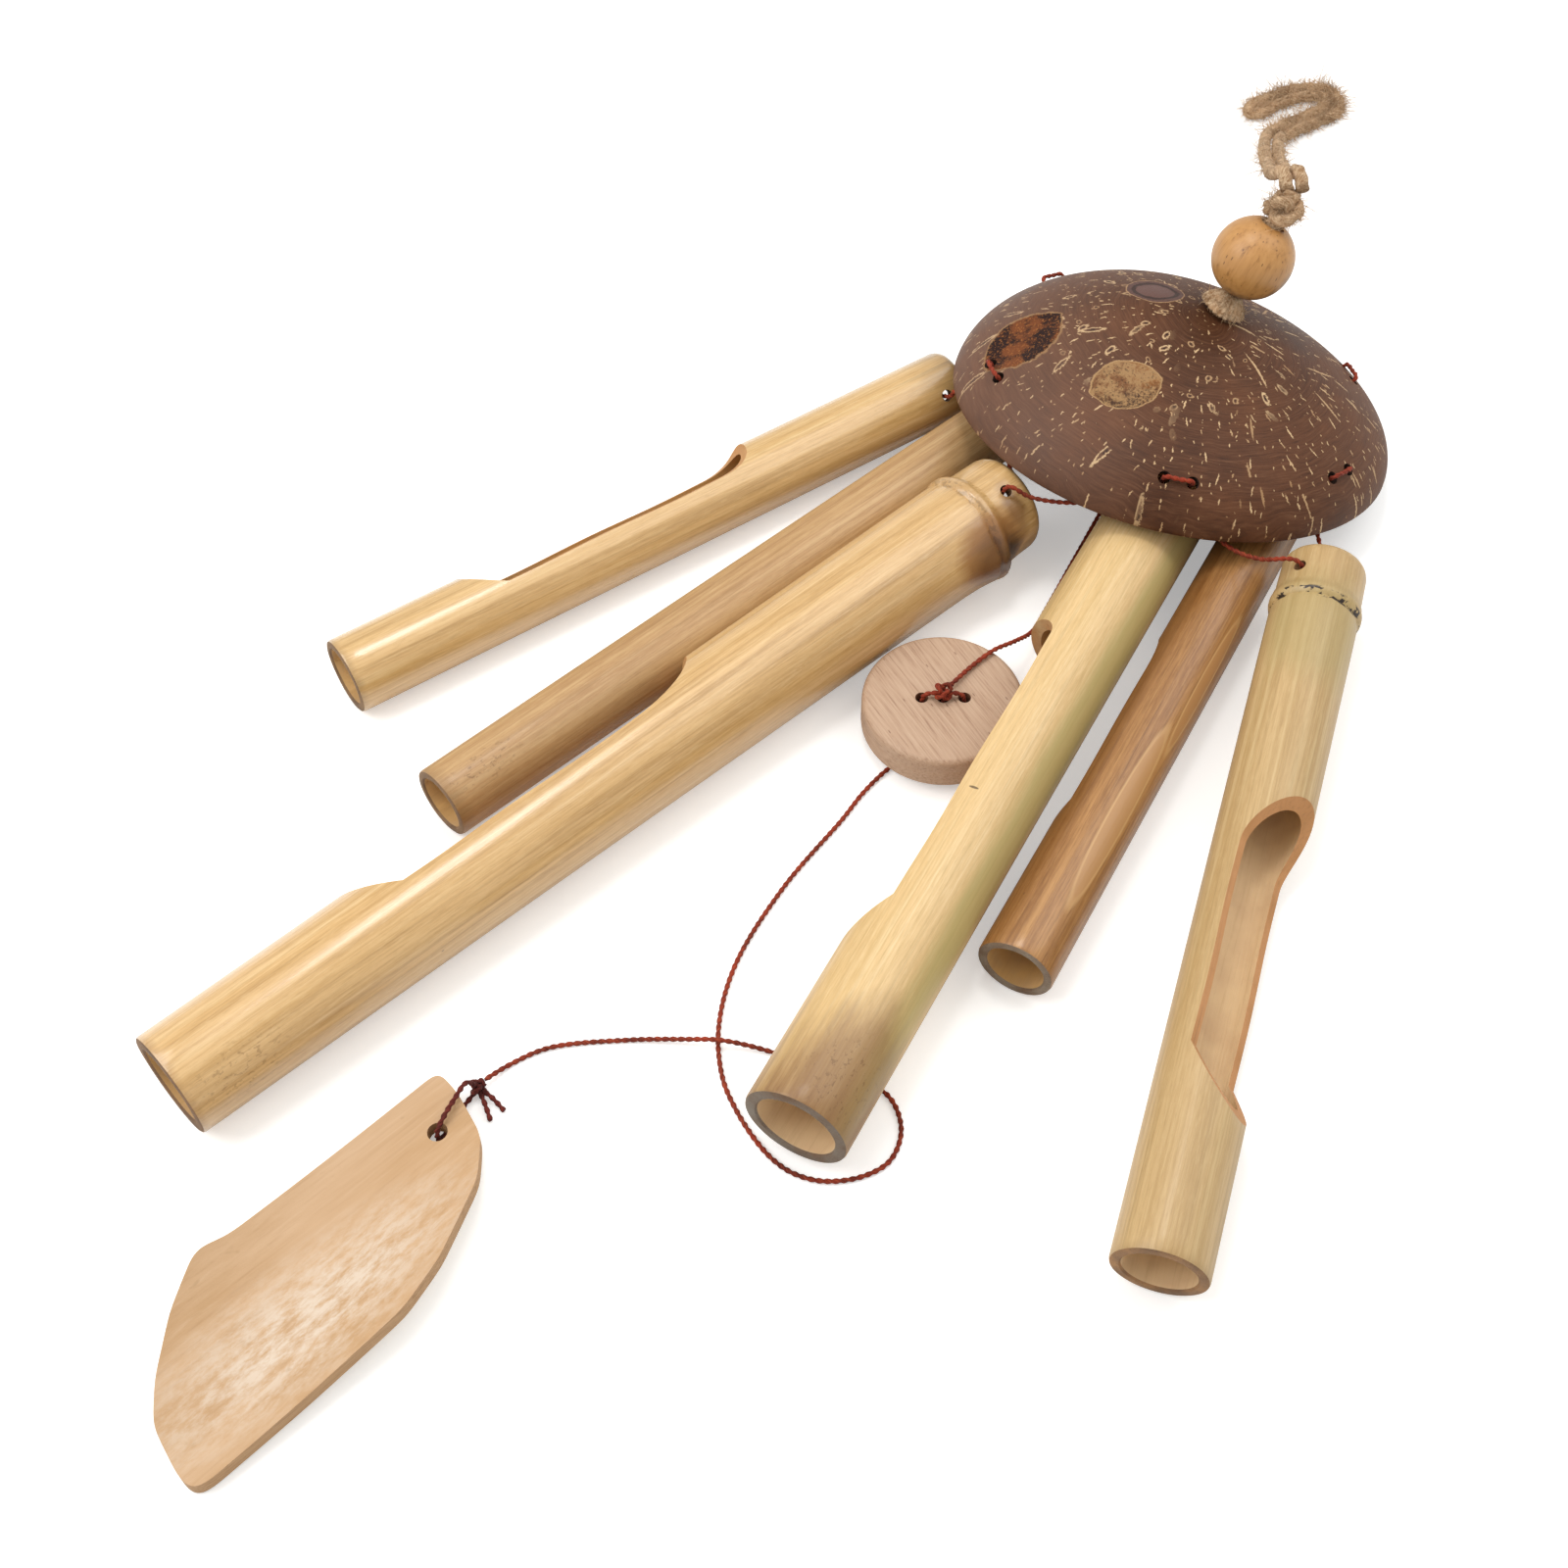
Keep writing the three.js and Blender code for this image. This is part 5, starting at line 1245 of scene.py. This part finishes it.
# %% Shell finish
def coconut(name):
    """Sanded coconut shell: brown with sanding lines round the top, cream flecks with torn edges, ringed pores,
    streaks on the right, a painted sheen that lightens the left and right slopes, and the three eyes as lenses
    with a thin pale rim."""
    material, tree = new_material(name)
    local = placed(tree, DOME_AT, DOME_FRAME)
    x, y, z = node(tree, "SeparateXYZ", {0: local}).outputs
    warp, cloud, fine, rough, coarse, grit = (
        node(tree, "TexNoise", {"Vector": local, "Scale": scale, "Detail": detail, "Roughness": roughness})
        for scale, detail, roughness in [(0.05, 2.0, 0.6), (0.045, 4.0, 0.6), (1.3, 4.0, 0.7), (0.3, 6.0, 0.72),
                                         (0.17, 4.0, 0.6), (1.6, 3.0, 0.7)])
    flat = node(tree, "VectorMath", {0: local, 1: (1, 1, 0)}, operation="MULTIPLY")
    away = node(tree, "VectorMath", {0: flat}, operation="NORMALIZE")
    around = node(tree, "VectorMath", {0: away, 1: (0, 0, 1)}, operation="CROSS_PRODUCT")
    reach = node(tree, "VectorMath", {0: flat}, operation="LENGTH")
    wavy = node(tree, "Math", {0: warp, 1: 4.0, 2: reach}, operation="MULTIPLY_ADD")
    rings = node(tree, "CombineXYZ", {0: wavy, 1: x, 2: y})
    sanding = grain(tree, rings, (2.6, 0.13, 0.13), 4.0, 0.7)
    tint = paint(tree, "#482916", "#623c25", cloud, 0.32, 0.68)
    tint = paint(tree, tint, "#7d563c", sanding, 0.5, 0.75, 0.5)
    tint = paint(tree, tint, "#321c11", sanding, 0.46, 0.28, 0.6)

    sway = node(tree, "VectorMath", {0: fine.outputs["Color"], 1: (1.1, 1.1, 1.1), 2: local},
                operation="MULTIPLY_ADD")
    left, right, high, near = (
        node(tree, "MapRange", {"Value": value, "From Min": start, "From Max": end})
        for value, start, end in [(x, -8.0, -22.0), (x, 2.0, 10.0), (z, 20.5, 23.0), (x, 26.0, 16.0)])
    crown = node(tree, "Math", {0: high, 1: near}, operation="MULTIPLY")
    # Cell, half length and half width in mm, share of cells, seed, whether ringed, and where.
    for *size, chance, seed, ringed, zone in [
        (2.4, 0.36, 0.19, 0.42, 11.0, False, None), (4.3, 0.95, 0.22, 0.46, 47.0, False, None),
        (7.0, 2.2, 0.3, 0.42, 29.0, False, right), (13.0, 5.2, 0.38, 0.55, 83.0, False, right),
        (5.2, 1.5, 0.95, 0.42, 131.0, True, crown), (9.0, 2.6, 0.95, 0.36, 173.0, True, left),
    ]:
        far, chosen, luck = shell_flecks(tree, sway, (away, around), *size, chance, seed)
        torn = node(tree, "Math", {0: fine, 1: 0.9, 2: far}, operation="MULTIPLY_ADD")
        if zone:
            chosen = node(tree, "Math", {0: chosen, 1: zone}, operation="MULTIPLY")
        cream = node(tree, "Mix", {0: luck, 6: "#9c7752", 7: "#d0b085"}, data_type="RGBA")
        layers = [(cream, 1.45, 1.25), ("#5f3f2c", 1.08, 0.95), ("#22140d", 0.72, 0.62)]
        for shade, start, end in layers if ringed else layers[:1]:
            tint = paint(tree, tint, shade, torn, start, end, 1.0, chosen)

    # Painted sheen: the shell's left and right slopes are made lighter and greyer, standing in for the gloss seen
    # there.
    tint = paint(tree, tint, "#866a5c", x, -14.0, -46.0, 0.3)
    tint = paint(tree, tint, "#80604e", x, 26.0, 52.0, 0.2)
    # Main and dark colour, rim, limit between the two, and specks.
    for eye, shades in {
        "torn": ("#6f3c1b", "#240e08", "#93704d", 0.48, "#a0632f"),
        "pale": ("#9c784f", "#744b2b", "#ab875c", 0.54, "#3c2717"),
        "ringed": ("#5d4038", "#4a3029", "#ab865f", 0.62, "#3c2820"),
    }.items():
        tint = painted_eye(tree, tint, eye, shades, rough, coarse, grit)

    shine = node(tree, "MapRange", {"Value": cloud, "From Min": 0.3, "From Max": 0.7,
                                    "To Min": 0.48, "To Max": 0.64})
    surface(tree, tint, shine, sanding, 0.35, 0.3, {"Specular IOR Level": 0.22})
    return material


shell_skin = coconut("sanded_coconut_shell")
print("shell finish:", len(shell_skin.node_tree.nodes), "nodes")

# %% Shell form
HOLE_WEAR, SHELL_COLS, DISH_FROM, DISH_TO = 0.5, 160, 0.7, 1.05
EYE_DIPS = {"torn": 0.9, "pale": 0.7, "ringed": 0.3}


def shell_rows():
    """Radius, height and finish (0 sanded outside and rim, 1 raw inside) from the rim up the outside and back."""
    t = np.radians(np.linspace(0, 90, 73))
    out_r, out_h = DOME_R * np.cos(t).clip(0) ** DOME_POWER, DOME_H * np.sin(t)
    out_r[-1] = 0
    keep = out_h > RIM_ROUND
    q = np.radians(np.linspace(-90, 0, 6)[:-1])
    lip = np.stack([DOME_R - RIM_ROUND + RIM_ROUND * np.cos(q), RIM_ROUND + RIM_ROUND * np.sin(q), 0 * q], 1)
    outside = np.stack([out_r, out_h, 0 * t], 1)[keep]
    k = (out_h / DOME_H) ** 3
    in_r = (out_r - DOME_WALL * (1 - k)).clip(0)
    in_h = out_h - DOME_WALL * (0.25 + 0.75 * k) * out_h / DOME_H
    inside = np.stack([in_r, in_h, 0 * t + 1], 1)[keep][::-2]
    hem = [(DOME_R - DOME_WALL, RIM_ROUND, 1), (DOME_R - DOME_WALL + 0.5, 0.1, 0)]
    return np.concatenate([lip, outside, inside, hem])


rows = shell_rows()
r, high, finish = rows.T[..., None]
a = np.arange(SHELL_COLS)[None] * 2 * np.pi / SHELL_COLS
round_shell = np.stack([r * np.cos(a), r * np.sin(a), high + 0 * a], -1)
points = settle(round_shell) @ DOME_FRAME + DOME_AT
outside = (finish == 0) & (high > 3)
for eye, dip in EYE_DIPS.items():
    at, long_way, short_way, out = eye_frame(eye)
    half, k = EYES[eye]["half"], EYES[eye]["point"]
    off = points - at
    tall = np.abs(off @ short_way) / half[1] * (math.hypot(1, k) - k) + k
    far = np.hypot(off @ long_way / half[0], tall) / math.hypot(1, k)
    dish = (1 - far.clip(DISH_FROM, DISH_TO) ** 2).clip(0) / (1 - DISH_FROM**2)
    points = points - out * (outside * (np.abs(off @ out) < 8) * dip * dish)[..., None]
shell_axes = (BACK, DOME_AXIS, ACROSS)
shell_raw = plain_wood("raw_coconut_inside", DOME_AT, shell_axes, "#6b4a35", "#3f2a1d", "#8a6448", 0.8, 0.2, 0.8)
# Painted shade: the stitch holes' walls are near black, standing in for the shade inside the holes.
shaded_hole_wall = plain_wood("painted_shade_hole_walls", DOME_AT, shell_axes, "#2e1d14", "#170d09", "#3d291d", 0.8, 0.2, 0.85)
shell = piece("coconut_shell", points, grid_faces(len(rows), SHELL_COLS, close_rows=True), [shell_skin, shell_raw],
              np.repeat(rows[:, 2], SHELL_COLS))
cut(shell, drills("stitch_holes", *zip(*stitch_holes), STITCH_HOLE_D + HOLE_WEAR, shaded_hole_wall))
cut(shell, drills("rope_hole", [along_rope(-12)], [along_rope(8)], STEM_HOLE_D, shell_raw))
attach(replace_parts(shell, "coconut_dome"), "dome")
print(shell.name, len(shell.data.polygons), "faces")
